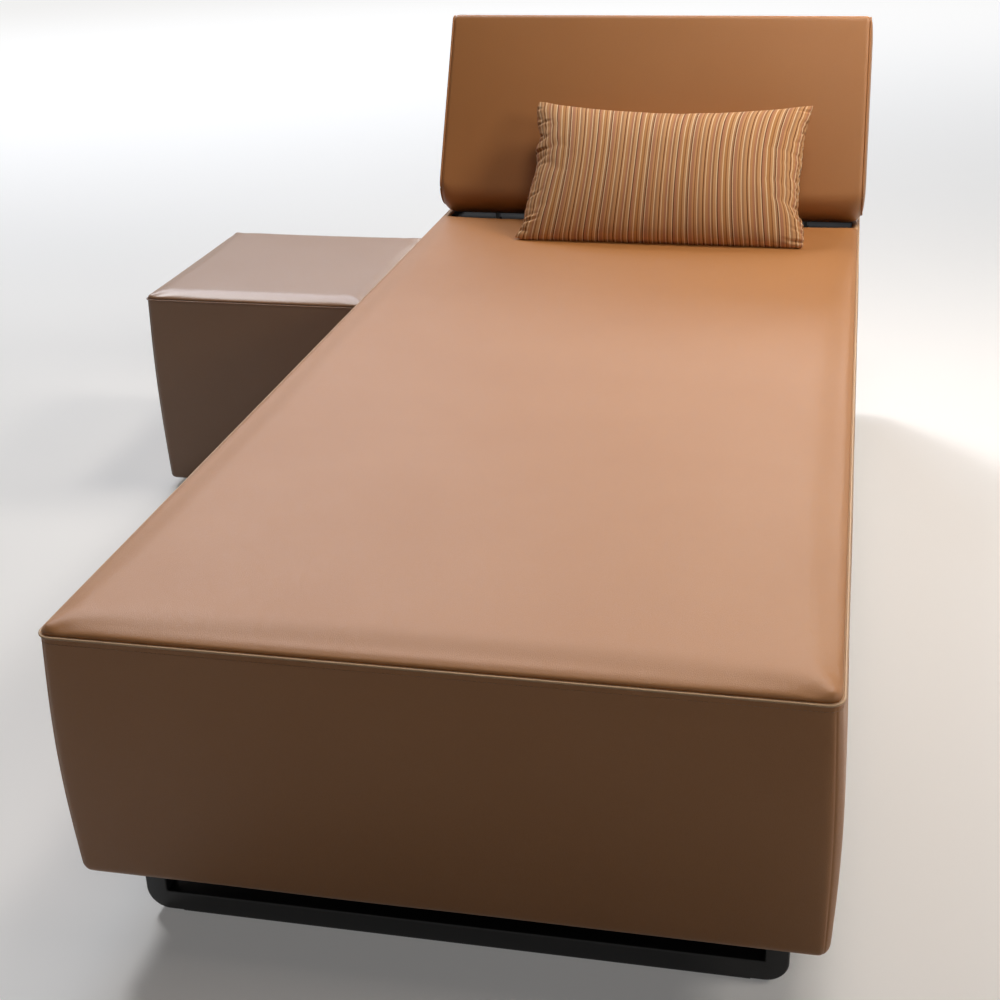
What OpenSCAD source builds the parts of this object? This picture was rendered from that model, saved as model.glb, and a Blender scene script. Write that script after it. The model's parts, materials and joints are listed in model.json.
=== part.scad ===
// Relaxation lounger with a reclining backrest, a scatter pillow and a matching cube stool.
// The origin is on the floor, under the middle of the front leg. +Y points to the head end.

/* [Body] */
// Width between the side seams
body_w = 796; // [700:1:900]
// Height of the seam round the top
seam_h = 389; // [360:1:460]
// Height of the underside
under_h = 91; // [80:1:120]
// Corner radius in plan
body_r = 14; // [14:1:40]
// How far the sides swell between top and bottom
side_bulge = 9.5; // [4:0.5:14]
// Radius that rolls the sides under
under_roll = 16; // [10:1:22]

/* [Seat] */
// Length of the padded top, from the foot seam
seat_l = 1523; // [1300:1:1700]
// Rise of the crowned top above the seam
crown_h = 12; // [8:1:20]
// Distance over which the crown rounds down to the seam
crown_roll = 28; // [18:1:45]
// Depth of the slot behind the padded top, below the seam
slot_depth = 12; // [10:1:16]
// Width of the rim that stays beside and behind the slot
rim_w = 11; // [8:1:14]
// Radius of the piping
welt_r = 2; // [1.5:0.1:3]
// Width of the piping's sewn flange
welt_flange_w = 8; // [5:1:10]

/* [Legs] */
// Side of the square tube
tube_w = 25; // [20:1:32]
// Distance from the foot seam back to the middle of the front leg
leg_set_in = 71; // [57:1:90]
// Distance from the uprights to the side rails
leg_side_in = 6; // [0:1:20]
// Outside radius of the tube's bend
bend_r = 26; // [22:1:34]
// Thickness of the mounting plates
plate_t = 4; // [3:0.5:6]
// Width of a mounting plate, across the lounger
plate_w = 60; // [50:1:80]
// Length of a mounting plate, along the lounger
plate_l = 50; // [40:1:60]
// Thickness of the rubber foot strips
strip_t = 3; // [2:0.5:5]
// Width of the rubber foot strips
strip_w = 18; // [12:1:20]
// Radius of the leg bolts
bolt_r = 4; // [3:0.5:5]
// Length of the leg bolts under the head
bolt_l = 38; // [30:1:45]

/* [Frame] */
// Thickness of the ply rails
rail_t = 18; // [15:1:25]
// Thickness of the deck board
deck_t = 12; // [9:1:18]
// Thickness of foam and cover together above the deck, up to the seam
foam_h = 58; // [50:1:70]
// Thickness of the padding on the sides
side_pad_t = 14.5; // [10:0.5:20]
// Thickness of the covering
cover_t = 1.5; // [1:0.1:2.5]
// Height of a cross rail
cross_h = 140; // [100:1:180]
// Height of a corner block
block_h = 50; // [45:1:80]

/* [Backrest] */
// Width of the backrest
back_w = 814; // [760:1:880]
// Height of the backrest along its slope
back_h = 388; // [320:1:480]
// Thickness of the backrest
back_t = 90; // [80:1:110]
// Lean from the vertical at rest
back_lean = 28.8; // [24:0.1:34]
// Width of the slot between the padded top and the backrest
slot_w = 17; // [12:1:30]
// Height of the backrest's rolled foot above the seam
back_clear = 0.5; // [0:0.5:10]
// Distance from the back of the backrest's foot to the head seam
rear_rest = 16; // [16:1:60]
// Edge radius at the top and the sides
back_edge_r = 12; // [8:1:16]
// How far the backrest reclines from rest
recline = 50; // [30:1:50]
// Corner radius at the two lower corners
back_corner_r = 30; // [24:1:40]
// How far the front face swells
back_crown = 5; // [2:0.5:10]
// Thickness of the back board
board_t = 15; // [12:1:18]

/* [Hinge] */
// Distance of each hinge from the middle
hinge_x = 300; // [240:1:320]
// Radius of the hinge pins
pin_r = 5; // [4:0.5:6]
// Radial clearance of a hinge pin in its ear
pin_gap = 0.05; // [0.03:0.01:0.08]
// Thickness of the fixed ear
ear_t = 6; // [5:0.5:8]
// Radius of the ear round the pin
ear_r = 12; // [10:0.5:14]
// Width of the ear's neck
neck_w = 16; // [12:1:18]
// Thickness of the lugs on the backrest's arms
lug_t = 5; // [4:0.5:6]
// Length of the strap on the back board
strap_l = 150; // [120:1:180]
// Width of the strap
strap_w = 36; // [30:1:44]

/* [Pillow] */
// Width of the pillow
pillow_w = 516; // [450:1:560]
// Height of the pillow
pillow_h = 306; // [260:1:330]
// How far the pillow's front stands out from its seam
pillow_front = 50; // [35:1:60]
// How far the pillow's back, which its filling sinks to, stands out from its seam
pillow_back = 90; // [50:1:100]
// Height of the pillow's lower seam above the padded top
pillow_seam_lift = 4; // [2:1:20]
// Lean of the pillow from the vertical
pillow_lean = 47.5; // [38:0.5:52]
// How far the pillow sits to the right of the middle
pillow_x = 48; // [-60:1:60]

/* [Stool] */
// Width of the stool between its seams
stool_w = 396; // [300:1:420]
// Depth of the stool between its seams
stool_l = 396; // [300:1:450]
// Height of the stool's top seam
stool_h = 356; // [340:1:440]
// Height of the stool's black plinth
plinth_h = 12; // [12:1:70]
// How far the plinth is set back from the cover
plinth_in = 28; // [18:1:45]
// Gap between the stool and the lounger at their widest
stool_gap = 4; // [2:1:20]
// Distance from the front leg's middle to the stool's near seam
stool_y = 1017; // [600:1:1100]
// Corner radius of the stool in plan
stool_r = 12; // [10:1:30]
// How far the stool's sides swell
stool_bulge = 4; // [2:0.5:8]
// Rise of the stool's crowned top
stool_crown = 10; // [6:1:16]
// Distance over which the stool's crown rounds down
stool_roll = 22; // [14:1:35]
// Thickness of the stool's ply walls
carcass_t = 15; // [12:1:18]
// Radius of the stool's feet
foot_r = 6; // [4:0.5:6]
// Height of the stool's feet
foot_h = 4; // [3:0.5:6]

/* [Hidden] */

$fn = 16;
corner_steps = 4;
wall_steps = 6;
crown_shares = [0.04, 0.14, 0.3, 0.5, 0.75, 1];
over = 1;
soft_gap = 0.3;
half = 0.5;

// Body lines
body_l = seat_l + slot_w + back_t + rear_rest;
front_y = -leg_set_in;
rear_y = front_y + body_l;
half_w = body_w / 2;
seat_end_y = front_y + seat_l;
flange_t = 1;
cover_top = seam_h - flange_t / 2;
panel_low = seam_h + flange_t / 2;
hem_w = 18;
frame_in = max(cover_t + side_pad_t, under_roll) + soft_gap;
frame_hw = half_w - frame_in;
frame_r = max(body_r - frame_in, body_r / 4);
frame_low = under_h + cover_t;
deck_low = seam_h - foam_h - deck_t;
deck_top = deck_low + deck_t;
slot_floor = seam_h - slot_depth;
slot_hw = half_w - rim_w - soft_gap;
slot_rear_y = rear_y - rim_w - soft_gap;
slot_wall_y = seat_end_y - cover_t;

// Leg lines
leg_w = 2 * (frame_hw - rail_t - leg_side_in);
rear_leg_y = rear_y - leg_set_in;
leg_low = strip_t;
plate_low = under_h - plate_t;
plate_x = leg_w / 2 - plate_w;
bolt_in = 14;
bolt_pitch = 28;
bolt_head_r = 7.5;
bolt_head_h = 5;
block_edge = 10;
strip_end_in = 40;

// Hinge line and the backrest's own directions: up its slope, and out of its back
back_r = back_t / 2;
hinge_y = seat_end_y + slot_w + back_r;
hinge_z = seam_h + back_r + back_clear;
back_hw = back_w / 2;
back_top = back_h - back_r;
up_dir = [0, sin(back_lean), cos(back_lean)];
out_dir = [0, cos(back_lean), -sin(back_lean)];
board_low = 66;
board_in = 40;
board_top = back_top - 24;
lug_gap = 0.3;
lug_top = board_low - 6;
slot_side = 5;
eye_room = 4;
neck_clear = 1.5;
screw_r = 2.5;
screw_head_r = 4.5;
screw_head_h = 2.5;
screw_l = 11;
ear_screw_l = 26;
ear_foot_h = 110;
hinge_block_w = 50;
hinge_block_l = 2 * (rear_rest + back_r - frame_in - rail_t - over);
ear_foot_w = hinge_block_l - 2 * over;
neck_room = 2;
pin_head_r = 8;
pin_head_h = 2;
back_welt_r = 1.2;

// Stool lines
stool_x1 = -half_w - side_bulge - stool_gap - stool_bulge;
stool_x0 = stool_x1 - stool_w;
stool_y1 = stool_y + stool_l;
stool_pad_t = 4;
stool_foam_h = 40;
stool_lid_low = stool_h - stool_foam_h - deck_t;
stool_edge_r = stool_r / 2;
stool_in = max(cover_t + stool_pad_t, stool_edge_r) + soft_gap;
stool_frame_r = max(stool_r - stool_in, stool_r / 4);
stool_frame_low = plinth_h + cover_t;
stool_welt_r = 1.2;
foot_in = 24;

// Colours as the covering, the frame and the legs show them
tan = [0.66, 0.45, 0.29];
tan_shade = [0.56, 0.37, 0.23];
pale = [0.86, 0.7, 0.52];
foam_yellow = [0.9, 0.86, 0.7];
ply = [0.8, 0.66, 0.46];
steel = [0.62, 0.63, 0.65];
black = [0.07, 0.07, 0.07];
stripe_tan = [0.67, 0.5, 0.36];

// Closed skin through rings of points that run anticlockwise about their direction of travel
function joined(rings) = [for (ring = rings) each ring];
function middle(ring) = [for (k = [0:2]) sum([for (p = ring) p[k]]) / len(ring)];
function sum(values, i = 0) = i < len(values) ? values[i] + sum(values, i + 1) : 0;

module skin(rings, looped = false) {
    n = len(rings[0]);
    m = len(rings);
    ends = looped ? [] : [middle(rings[0]), middle(rings[m - 1])];
    rows = looped ? m : m - 1;
    walls = [for (i = [0:rows - 1], j = [0:n - 1], k = [0, 1])
        let (a = i * n + j, b = i * n + (j + 1) % n,
             c = (i + 1) % m * n + (j + 1) % n, d = (i + 1) % m * n + j)
        k == 0 ? [a, c, b] : [a, d, c]];
    caps = looped ? [] : [for (j = [0:n - 1], k = [0, 1])
        k == 0 ? [m * n, j, (j + 1) % n]
               : [m * n + 1, (m - 1) * n + (j + 1) % n, (m - 1) * n + j]];
    polyhedron(concat(joined(rings), ends), concat(walls, caps));
}

// Ring round a rectangle [x0, x1, y0, y1] with corner radii r = [near, far], let out by d, at height z
function box_ring(rect, r, d, z) =
    let (q = [for (k = r) max(k + d, k / 4)],
         corners = [[rect[1] + d - q[0], rect[2] - d + q[0], -90, q[0]],
                    [rect[1] + d - q[1], rect[3] + d - q[1], 0, q[1]],
                    [rect[0] - d + q[1], rect[3] + d - q[1], 90, q[1]],
                    [rect[0] - d + q[0], rect[2] - d + q[0], 180, q[0]]])
    [for (c = corners, i = [0:corner_steps])
        let (a = c[2] + 90 * i / corner_steps) [c[0] + c[3] * cos(a), c[1] + c[3] * sin(a), z]];

// Wall of an upholstered box from its underside to its seam: pairs of let-out and height
function wall_line(low, high, bulge, roll, t, steps = wall_steps) = concat(
    [for (i = [0:3]) let (a = -90 + 90 * i / 4)
        [-roll + (roll - t) * cos(a), low + roll + (roll - t) * sin(a)]],
    [for (i = [0:steps]) let (s = i / steps)
        [bulge * sin(180 * s) - t, low + roll + (high - low - roll) * s]]);
function turned(line) = [for (i = [len(line) - 1:-1:0]) line[i]];

// Covering of the sides: hem under the box, wall, and a rim turned in at the seam
module box_cover(rect, r, low, high, bulge, roll, hem, rim) {
    outer = wall_line(low, high, bulge, roll, 0);
    inner = wall_line(low, high - cover_t, bulge, roll, cover_t);
    line = concat([[-roll - hem, low]], outer, [[-rim, high], [-rim, high - cover_t]],
                  turned(inner), [[-roll - hem, low + cover_t]]);
    skin([for (p = line) box_ring(rect, r, p[0], p[1])], true);
}

// Crowned line from the seam in towards the middle: pairs of let-out and height
function crown_line(low, rise, roll, t) =
    [for (s = crown_shares) [-t - (roll - t) * s, low + (rise - t) * sqrt(1 - (1 - s) * (1 - s))]];

module crown_shell(rect, r, low, rise, roll) {
    outer = concat([[0, low]], crown_line(low, rise, roll, 0));
    inner = concat([[-cover_t, low]], crown_line(low, rise, roll, cover_t));
    skin([for (p = concat(turned(inner), outer)) box_ring(rect, r, p[0], p[1])]);
}

// Foam under a crowned panel, with a groove for what is sewn into the seam
module crown_block(rect, r, low, seam, rise, roll, groove) {
    t = cover_t + soft_gap;
    under = seam - flange_t - cover_t - soft_gap;
    line = concat([[-t, low], [-t, under], [-groove - soft_gap, under],
                   [-groove - soft_gap, seam + soft_gap], [-t, seam + soft_gap]],
                  crown_line(seam + soft_gap, rise - soft_gap, roll, t));
    skin([for (p = line) box_ring(rect, r, p[0], p[1])]);
}

// Piping round a rectangle: a bead outside the seam and a flat flange sewn into it
module round_rect(rect, r, d) {
    translate([rect[0] - d + r, rect[2] - d])
        square([rect[1] - rect[0] + 2 * (d - r), rect[3] - rect[2] + 2 * d]);
    translate([rect[0] - d, rect[2] - d + r])
        square([rect[1] - rect[0] + 2 * d, rect[3] - rect[2] + 2 * (d - r)]);
    for (x = [rect[0] - d + r, rect[1] + d - r], y = [rect[2] - d + r, rect[3] + d - r])
        translate([x, y])
            circle(r);
}

module piping(rect, r, bead_r, flange, z) {
    run_x = rect[1] - rect[0] - 2 * r;
    run_y = rect[3] - rect[2] - 2 * r;
    translate([0, 0, z]) {
        for (x = [rect[0] - bead_r, rect[1] + bead_r])
            translate([x, rect[2] + r, 0])
                rotate([-90, 0, 0])
                    cylinder(r = bead_r, h = run_y);
        for (y = [rect[2] - bead_r, rect[3] + bead_r])
            translate([rect[0] + r, y, 0])
                rotate([0, 90, 0])
                    cylinder(r = bead_r, h = run_x);
        for (i = [0:3])
            translate([i == 1 || i == 2 ? rect[0] + r : rect[1] - r,
                       i > 1 ? rect[2] + r : rect[3] - r, 0])
                rotate(90 * i)
                    rotate_extrude(angle = 90)
                        translate([r + bead_r, 0])
                            circle(bead_r);
        translate([0, 0, -flange_t / 2])
            linear_extrude(flange_t)
                difference() {
                    round_rect(rect, r, bead_r / 2);
                    round_rect(rect, r / 2, -flange);
                }
    }
}

body_rect = [-half_w, half_w, front_y, rear_y];
body_radii = [body_r, body_r];
seat_rect = [-half_w, half_w, front_y, seat_end_y];
seat_radii = [body_r, body_r / 3];
stool_rect = [stool_x0, stool_x1, stool_y, stool_y1];
stool_radii = [stool_r, stool_r];

// Keeps children inside the frame's outline, whose corners are rounded under the covering
module in_outline(rect, r, inset, low, high) {
    intersection() {
        children();
        translate([0, 0, low])
            linear_extrude(high - low)
                round_rect(rect, r, -inset);
    }
}

module side_rails() {
    color(ply)
        in_outline(body_rect, frame_r, frame_in, frame_low, deck_low)
            for (s = [-1, 1])
                translate([s * (frame_hw - rail_t / 2) - rail_t / 2, front_y + frame_in, frame_low])
                    cube([rail_t, body_l - 2 * frame_in, deck_low - frame_low]);
}

module end_rails() {
    color(ply)
        for (y = [front_y + frame_in, rear_y - frame_in - rail_t])
            translate([-frame_hw + rail_t, y, frame_low])
                cube([2 * (frame_hw - rail_t), rail_t, deck_low - frame_low]);
}

hinge_rail_y = hinge_y - hinge_block_l / 2 - rail_t;
module cross_rails() {
    span = hinge_rail_y - front_y;
    color(ply)
        for (y = [front_y + span / 3, front_y + 2 * span / 3, hinge_rail_y])
            translate([-frame_hw + rail_t, y, deck_low - cross_h])
                cube([2 * (frame_hw - rail_t), rail_t, cross_h]);
}

module bolt_places() {
    for (x = [-1, 1], y = [0, rear_leg_y], dy = [-1, 1])
        translate([x * (plate_x + bolt_in), y + dy * bolt_pitch / 2, 0])
            children();
}

module corner_blocks() {
    block_x = plate_x + bolt_in - block_edge;
    block_y = front_y + frame_in + rail_t;
    color(ply)
        difference() {
            for (s = [0, 1], e = [0, 1])
                translate([0, e * rear_leg_y, 0])
                    mirror([0, e, 0])
                        mirror([s, 0, 0])
                            translate([block_x, block_y, frame_low])
                                cube([frame_hw - rail_t - block_x,
                                      bolt_pitch / 2 + block_edge - block_y, block_h]);
            bolt_places()
                translate([0, 0, frame_low - over])
                    cylinder(r = bolt_r + pin_gap, h = bolt_l + over);
        }
}

module neck_slots(low, high, room) {
    for (s = [-1, 1])
        translate([s * hinge_x - ear_t / 2 - room, hinge_y - neck_w / 2 - room, low - over])
            cube([ear_t + 2 * room, neck_w + 2 * room, high - low + 2 * over]);
}

module deck_board() {
    color(ply)
        difference() {
            translate([0, 0, deck_low])
                linear_extrude(deck_t)
                    round_rect(body_rect, frame_r, -frame_in);
            neck_slots(deck_low, deck_top, neck_room);
        }
}

module slot_foam() {
    color(foam_yellow)
        difference() {
            in_outline(body_rect, frame_r, frame_in, deck_top, slot_floor - cover_t)
                translate([-frame_hw, seat_end_y + soft_gap, deck_top])
                    cube([2 * frame_hw, rear_y - seat_end_y, foam_h]);
            neck_slots(deck_top, slot_floor, neck_room);
        }
}

module seat_foam() {
    color(foam_yellow)
        intersection() {
            crown_block(seat_rect, seat_radii, deck_top, panel_low, crown_h, crown_roll, rim_w);
            translate([-half_w, front_y, deck_top])
                cube([body_w, seat_l - cover_t - soft_gap, foam_h + crown_h]);
        }
}

// Padding inside a box's covering: from where its foot is rolled up to a given height
module wall_padding(rect, radii, low, high, top, bulge, roll, flat) {
    outer = wall_line(low, high, bulge, roll, cover_t + soft_gap, wall_steps / 2);
    share = (top - low - roll) / (high - low - roll);
    line = concat([[flat, low + roll]],
                  [for (p = outer) if (p[1] >= low + roll && p[1] < top - over) p],
                  [[bulge * sin(180 * share) - cover_t - 2 * soft_gap, top], [flat, top]]);
    skin([for (p = line) box_ring(rect, radii, p[0], p[1])], true);
}

module side_padding() {
    color(foam_yellow)
        wall_padding(body_rect, body_radii, under_h, cover_top, deck_top - soft_gap, side_bulge,
                     under_roll, soft_gap - frame_in);
}

module seat_cover() {
    color(tan)
        crown_shell(seat_rect, seat_radii, panel_low, crown_h, crown_roll);
}

module side_cover() {
    color(tan_shade)
        box_cover(body_rect, body_radii, under_h, cover_top, side_bulge, under_roll, hem_w, rim_w);
}

module seat_piping() {
    color(pale)
        piping(body_rect, body_r, welt_r, welt_flange_w, seam_h);
}

// Black cloth that lines the slot under the backrest, as an open tray
module slot_lining() {
    color(black)
        difference() {
            in_outline(body_rect, body_r - rim_w, rim_w + soft_gap, slot_floor - cover_t, cover_top)
                translate([-slot_hw, slot_wall_y, slot_floor - cover_t])
                    cube([2 * slot_hw, slot_rear_y - slot_wall_y, foam_h]);
            in_outline(body_rect, body_r - rim_w - cover_t, rim_w + soft_gap + cover_t,
                       slot_floor, seam_h)
                translate([-slot_hw + cover_t, slot_wall_y + cover_t, slot_floor])
                    cube([2 * (slot_hw - cover_t), slot_rear_y - slot_wall_y - 2 * cover_t, foam_h]);
            neck_slots(slot_floor - cover_t, slot_floor, neck_room);
        }
}

module dust_cover() {
    edge = under_roll + hem_w + soft_gap;
    color(black)
        difference() {
            translate([0, 0, under_h])
                linear_extrude(cover_t)
                    round_rect(body_rect, body_r / 2, -edge);
            bolt_places()
                translate([0, 0, under_h - over])
                    cylinder(r = bolt_r + pin_gap, h = cover_t + 2 * over);
        }
}

// One sled leg: two uprights and a floor bar of square tube with bent corners
module sled_leg(y) {
    reach = leg_w / 2;
    translate([0, y - tube_w / 2, leg_low]) {
        for (s = [0, 1])
            mirror([s, 0, 0]) {
                translate([reach - tube_w, 0, bend_r])
                    cube([tube_w, tube_w, plate_low - leg_low - bend_r]);
                translate([reach - bend_r, tube_w, bend_r])
                    rotate([90, 90, 0])
                        rotate_extrude(angle = 90)
                            translate([bend_r - tube_w, 0])
                                square(tube_w);
            }
        translate([-reach + bend_r, 0, 0])
            cube([2 * (reach - bend_r), tube_w, tube_w]);
    }
}

module front_leg() {
    color(black)
        sled_leg(0);
}

module rear_leg() {
    color(black)
        sled_leg(rear_leg_y);
}

module leg_plates() {
    color(black)
        difference() {
            for (s = [0, 1], y = [0, rear_leg_y])
                mirror([s, 0, 0])
                    translate([plate_x, y - plate_l / 2, plate_low])
                        cube([plate_w, plate_l, plate_t]);
            bolt_places()
                translate([0, 0, plate_low - over])
                    cylinder(r = bolt_r + pin_gap, h = plate_t + 2 * over);
        }
}

module leg_bolts() {
    color(steel)
        bolt_places() {
            translate([0, 0, plate_low])
                cylinder(r = bolt_r, h = bolt_l);
            translate([0, 0, plate_low - bolt_head_h])
                cylinder(r = bolt_head_r, h = bolt_head_h, $fn = 6);
        }
}

module foot_strips() {
    color(black)
        for (y = [0, rear_leg_y])
            translate([-leg_w / 2 + strip_end_in, y - strip_w / 2, 0])
                cube([leg_w - 2 * strip_end_in, strip_w, strip_t]);
}

ear_foot_low = deck_low - ear_foot_h;
ear_screw_shares = [0.25, 0.75];
module hinge_blocks() {
    color(ply)
        difference() {
            for (s = [0, 1])
                mirror([s, 0, 0])
                    translate([hinge_x - ear_t / 2 - hinge_block_w, hinge_y - hinge_block_l / 2,
                               deck_low - cross_h])
                        cube([hinge_block_w, hinge_block_l, cross_h]);
            ear_screw_places()
                cylinder(r = screw_r, h = ear_screw_l);
        }
}

module ear_screw_places() {
    for (s = [0, 1], y = ear_screw_shares, z = ear_screw_shares)
        mirror([s, 0, 0])
            translate([hinge_x + ear_t / 2, hinge_y + (y - half) * ear_foot_w,
                       ear_foot_low + z * (ear_foot_h - neck_w)])
                rotate([0, -90, 0])
                    children();
}

module hinge_ears() {
    color(steel)
        difference() {
            for (s = [-1, 1])
                translate([s * hinge_x - ear_t / 2, hinge_y, 0]) {
                    translate([0, -ear_foot_w / 2, ear_foot_low])
                        cube([ear_t, ear_foot_w, ear_foot_h - neck_room]);
                    translate([0, -neck_w / 2, ear_foot_low])
                        cube([ear_t, neck_w, hinge_z - ear_foot_low]);
                    translate([0, 0, hinge_z])
                        rotate([0, 90, 0])
                            cylinder(r = ear_r, h = ear_t);
                }
            for (s = [-1, 1])
                translate([s * hinge_x - ear_t, hinge_y, hinge_z])
                    rotate([0, 90, 0])
                        cylinder(r = pin_r + pin_gap, h = 2 * ear_t);
            ear_screw_places()
                translate([0, 0, -over])
                    cylinder(r = screw_r, h = ear_t + 2 * over);
        }
}

module ear_screws() {
    color(steel)
        ear_screw_places() {
            cylinder(r = screw_r, h = ear_screw_l);
            translate([0, 0, -screw_head_h])
                cylinder(r = screw_head_r, h = screw_head_h);
        }
}

module hinge_pins() {
    reach = ear_t / 2 + lug_gap + lug_t;
    color(steel)
        for (s = [-1, 1])
            translate([s * hinge_x, hinge_y, hinge_z])
                rotate([0, 90, 0]) {
                    translate([0, 0, -reach])
                        cylinder(r = pin_r, h = 2 * reach);
                    for (z = [-reach - pin_head_h, reach])
                        translate([0, 0, z])
                            cylinder(r = pin_head_r, h = pin_head_h);
                }
}

// Places children in the backrest's own directions: X across, Y out of its back, Z up its slope
module on_back() {
    translate([0, hinge_y, hinge_z])
        rotate([-back_lean, 0, 0])
            children();
}

strap_t = lug_t;
arm_screw_shares = [0.2, 0.5, 0.8];
module arm_screw_places() {
    for (s = [-1, 1], z = arm_screw_shares)
        on_back()
            translate([s * hinge_x, board_t / 2 + strap_t, board_low + z * strap_l])
                rotate([90, 0, 0])
                    children();
}

module hinge_arms() {
    color(steel)
        difference() {
            on_back()
                for (s = [-1, 1])
                    translate([s * hinge_x, 0, 0]) {
                        translate([-strap_w / 2, board_t / 2, lug_top - strap_t])
                            cube([strap_w, strap_t, board_low - lug_top + strap_t + strap_l]);
                        for (x = [-ear_t / 2 - lug_gap - lug_t, ear_t / 2 + lug_gap])
                            translate([x, 0, 0]) {
                                rotate([0, 90, 0])
                                    cylinder(r = ear_r, h = lug_t);
                                translate([0, -ear_r, 0])
                                    cube([lug_t, ear_r + board_t / 2 + strap_t, lug_top]);
                            }
                    }
            on_back()
                for (s = [-1, 1])
                    translate([s * hinge_x - strap_w / 2, 0, 0])
                        rotate([0, 90, 0])
                            cylinder(r = pin_r, h = strap_w);
            arm_screw_places()
                translate([0, 0, -over])
                    cylinder(r = screw_r, h = strap_t + 2 * over);
        }
}

module arm_screws() {
    color(steel)
        arm_screw_places() {
            cylinder(r = screw_r, h = screw_l + strap_t);
            translate([0, 0, -screw_head_h])
                cylinder(r = screw_head_r, h = screw_head_h);
        }
}

module back_board() {
    color(ply)
        difference() {
            on_back()
                translate([-back_hw + board_in, -board_t / 2, board_low])
                    cube([back_w - 2 * board_in, board_t, board_top - board_low]);
            arm_screw_places()
                cylinder(r = screw_r, h = screw_l + strap_t);
        }
}

back_rise_shares = [0.25, 0.5, 0.75];
back_end_angles = [90, 60, 35, 12];
back_corner_shares = [0.55, 0.75, 1, 2, 6];

// Section of the backrest, let in by s, with its round foot lifted by b and its faces swollen by c
function back_section(x, s, b, c) =
    let (r = back_r - s, e = back_edge_r, top = back_top - s,
         foot = [for (i = [0:8]) let (a = 180 + 22.5 * i) [r * cos(a), b + r * sin(a)]],
         rise = [for (k = back_rise_shares) [k, b + k * (top - e - b)]],
         back = [for (k = rise) [r + c * sin(180 * k[0]) / 4, k[1]]],
         head = concat([for (i = [0:2]) [r - e + e * cos(45 * i), top - e + e * sin(45 * i)]],
                       [for (i = [0:2]) [-r + e - e * sin(45 * i), top - e + e * cos(45 * i)]]),
         front = [for (k = turned(rise)) [-r - c * sin(180 * k[0]), k[1]]])
    [for (p = concat(foot, back, head, front))
        [x, hinge_y + p[0] * out_dir[1] + p[1] * up_dir[1],
            hinge_z + p[0] * out_dir[2] + p[1] * up_dir[2]]];

// Half of the stations across the backrest: distance in from its end, let-in, foot lift, swell share
function back_stations() = concat(
    [for (a = back_end_angles)
        [back_edge_r * (1 - sin(a)), back_edge_r * (1 - cos(a)), 0]],
    [for (k = back_corner_shares) [back_corner_r * k, 0, k / max(back_corner_shares)]]);

function foot_lift(d) = d < back_corner_r
    ? back_corner_r - sqrt(back_corner_r * back_corner_r - (back_corner_r - d) * (back_corner_r - d))
    : 0;

module back_form(t) {
    side = back_stations();
    function ring(k, s) = back_section(s * (back_hw - t - k[0]), k[1] + t,
                                       foot_lift(k[0]) * (1 - k[1] / back_r), back_crown * k[2]);
    skin(concat([for (k = side) ring(k, -1)], [for (k = turned(side)) ring(k, 1)]));
}

// Room in the backrest for its hinges, open at the back and underneath
module hinge_room() {
    wide = ear_t + 2 * (lug_gap + lug_t + pin_head_h + slot_side);
    reach = 2 * back_r;
    w = neck_w / 2 + neck_clear;
    down = back_lean;
    back = back_lean + recline;
    on_back()
        for (s = [-1, 1])
            translate([s * hinge_x - wide / 2, 0, 0]) {
                rotate([0, 90, 0])
                    cylinder(r = ear_r + eye_room, h = wide);
                translate([0, -ear_r - over, 0])
                    cube([wide, 2 * (ear_r + over), board_low]);
                rotate([90, 0, 90])
                    linear_extrude(wide)
                        polygon([[-w * cos(down), -w * sin(down)],
                                 [-w * cos(down) + reach * sin(down), -w * sin(down) - reach * cos(down)],
                                 [reach * 2, -reach * 2],
                                 [w * cos(back) + reach * sin(back), w * sin(back) - reach * cos(back)],
                                 [w * cos(back), w * sin(back)]]);
            }
}

module back_foam() {
    strap_room = strap_t + screw_head_h + over;
    color(foam_yellow)
        difference() {
            back_form(cover_t + soft_gap);
            hinge_room();
            on_back() {
                translate([-back_hw + board_in, -board_t / 2, board_low])
                    cube([back_w - 2 * board_in, board_t, board_top - board_low]);
                for (s = [-1, 1])
                    translate([s * hinge_x - strap_w / 2 - over, 0, lug_top - strap_t - over])
                        cube([strap_w + 2 * over, board_t / 2 + strap_room,
                              board_low - lug_top + strap_l + strap_t + 2 * over]);
            }
        }
}

module back_cover() {
    color(tan)
        difference() {
            back_form(0);
            back_form(cover_t);
            hinge_room();
        }
}

// Seam welt round each end of the backrest
module back_welts() {
    a = back_end_angles[2];
    inset = back_edge_r * (1 - cos(a)) + back_welt_r * cos(a);
    lift = foot_lift(back_edge_r * (1 - sin(a)));
    color(tan)
        for (s = [-1, 1]) {
            x = s * (back_hw - back_edge_r * (1 - sin(a)) + 2 * back_welt_r);
            steps = [[-back_welt_r, 0], [0, -back_welt_r], [back_welt_r, 0], [0, back_welt_r]];
            line = [for (k = steps) back_section(x + s * k[0], inset + k[1], lift, 0)];
            skin(s > 0 ? line : turned(line), true);
        }
}

// Pillow: rings grow from the middle of the back, round the seam, to the middle of the front
pillow_side_share = 0.055;
pillow_top_share = 0.07;
pillow_thin_share = 0.42;
touch_share = 1;
pillow_cut_h = 60;
pillow_steps = 8;
pillow_ring_shares = [0.15, 0.4, 0.65, 0.83, 0.95, 1];
filling_ring_shares = [0.4, 0.83, 1];
dome_power = 2.2;
edge_power = 0.62;

function square_path() = [for (side = [0:3], i = [0:pillow_steps - 1])
    let (k = -1 + 2 * i / pillow_steps)
    side == 0 ? [k, -1] : side == 1 ? [1, k] : side == 2 ? [-k, 1] : [-1, -k]];

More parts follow.
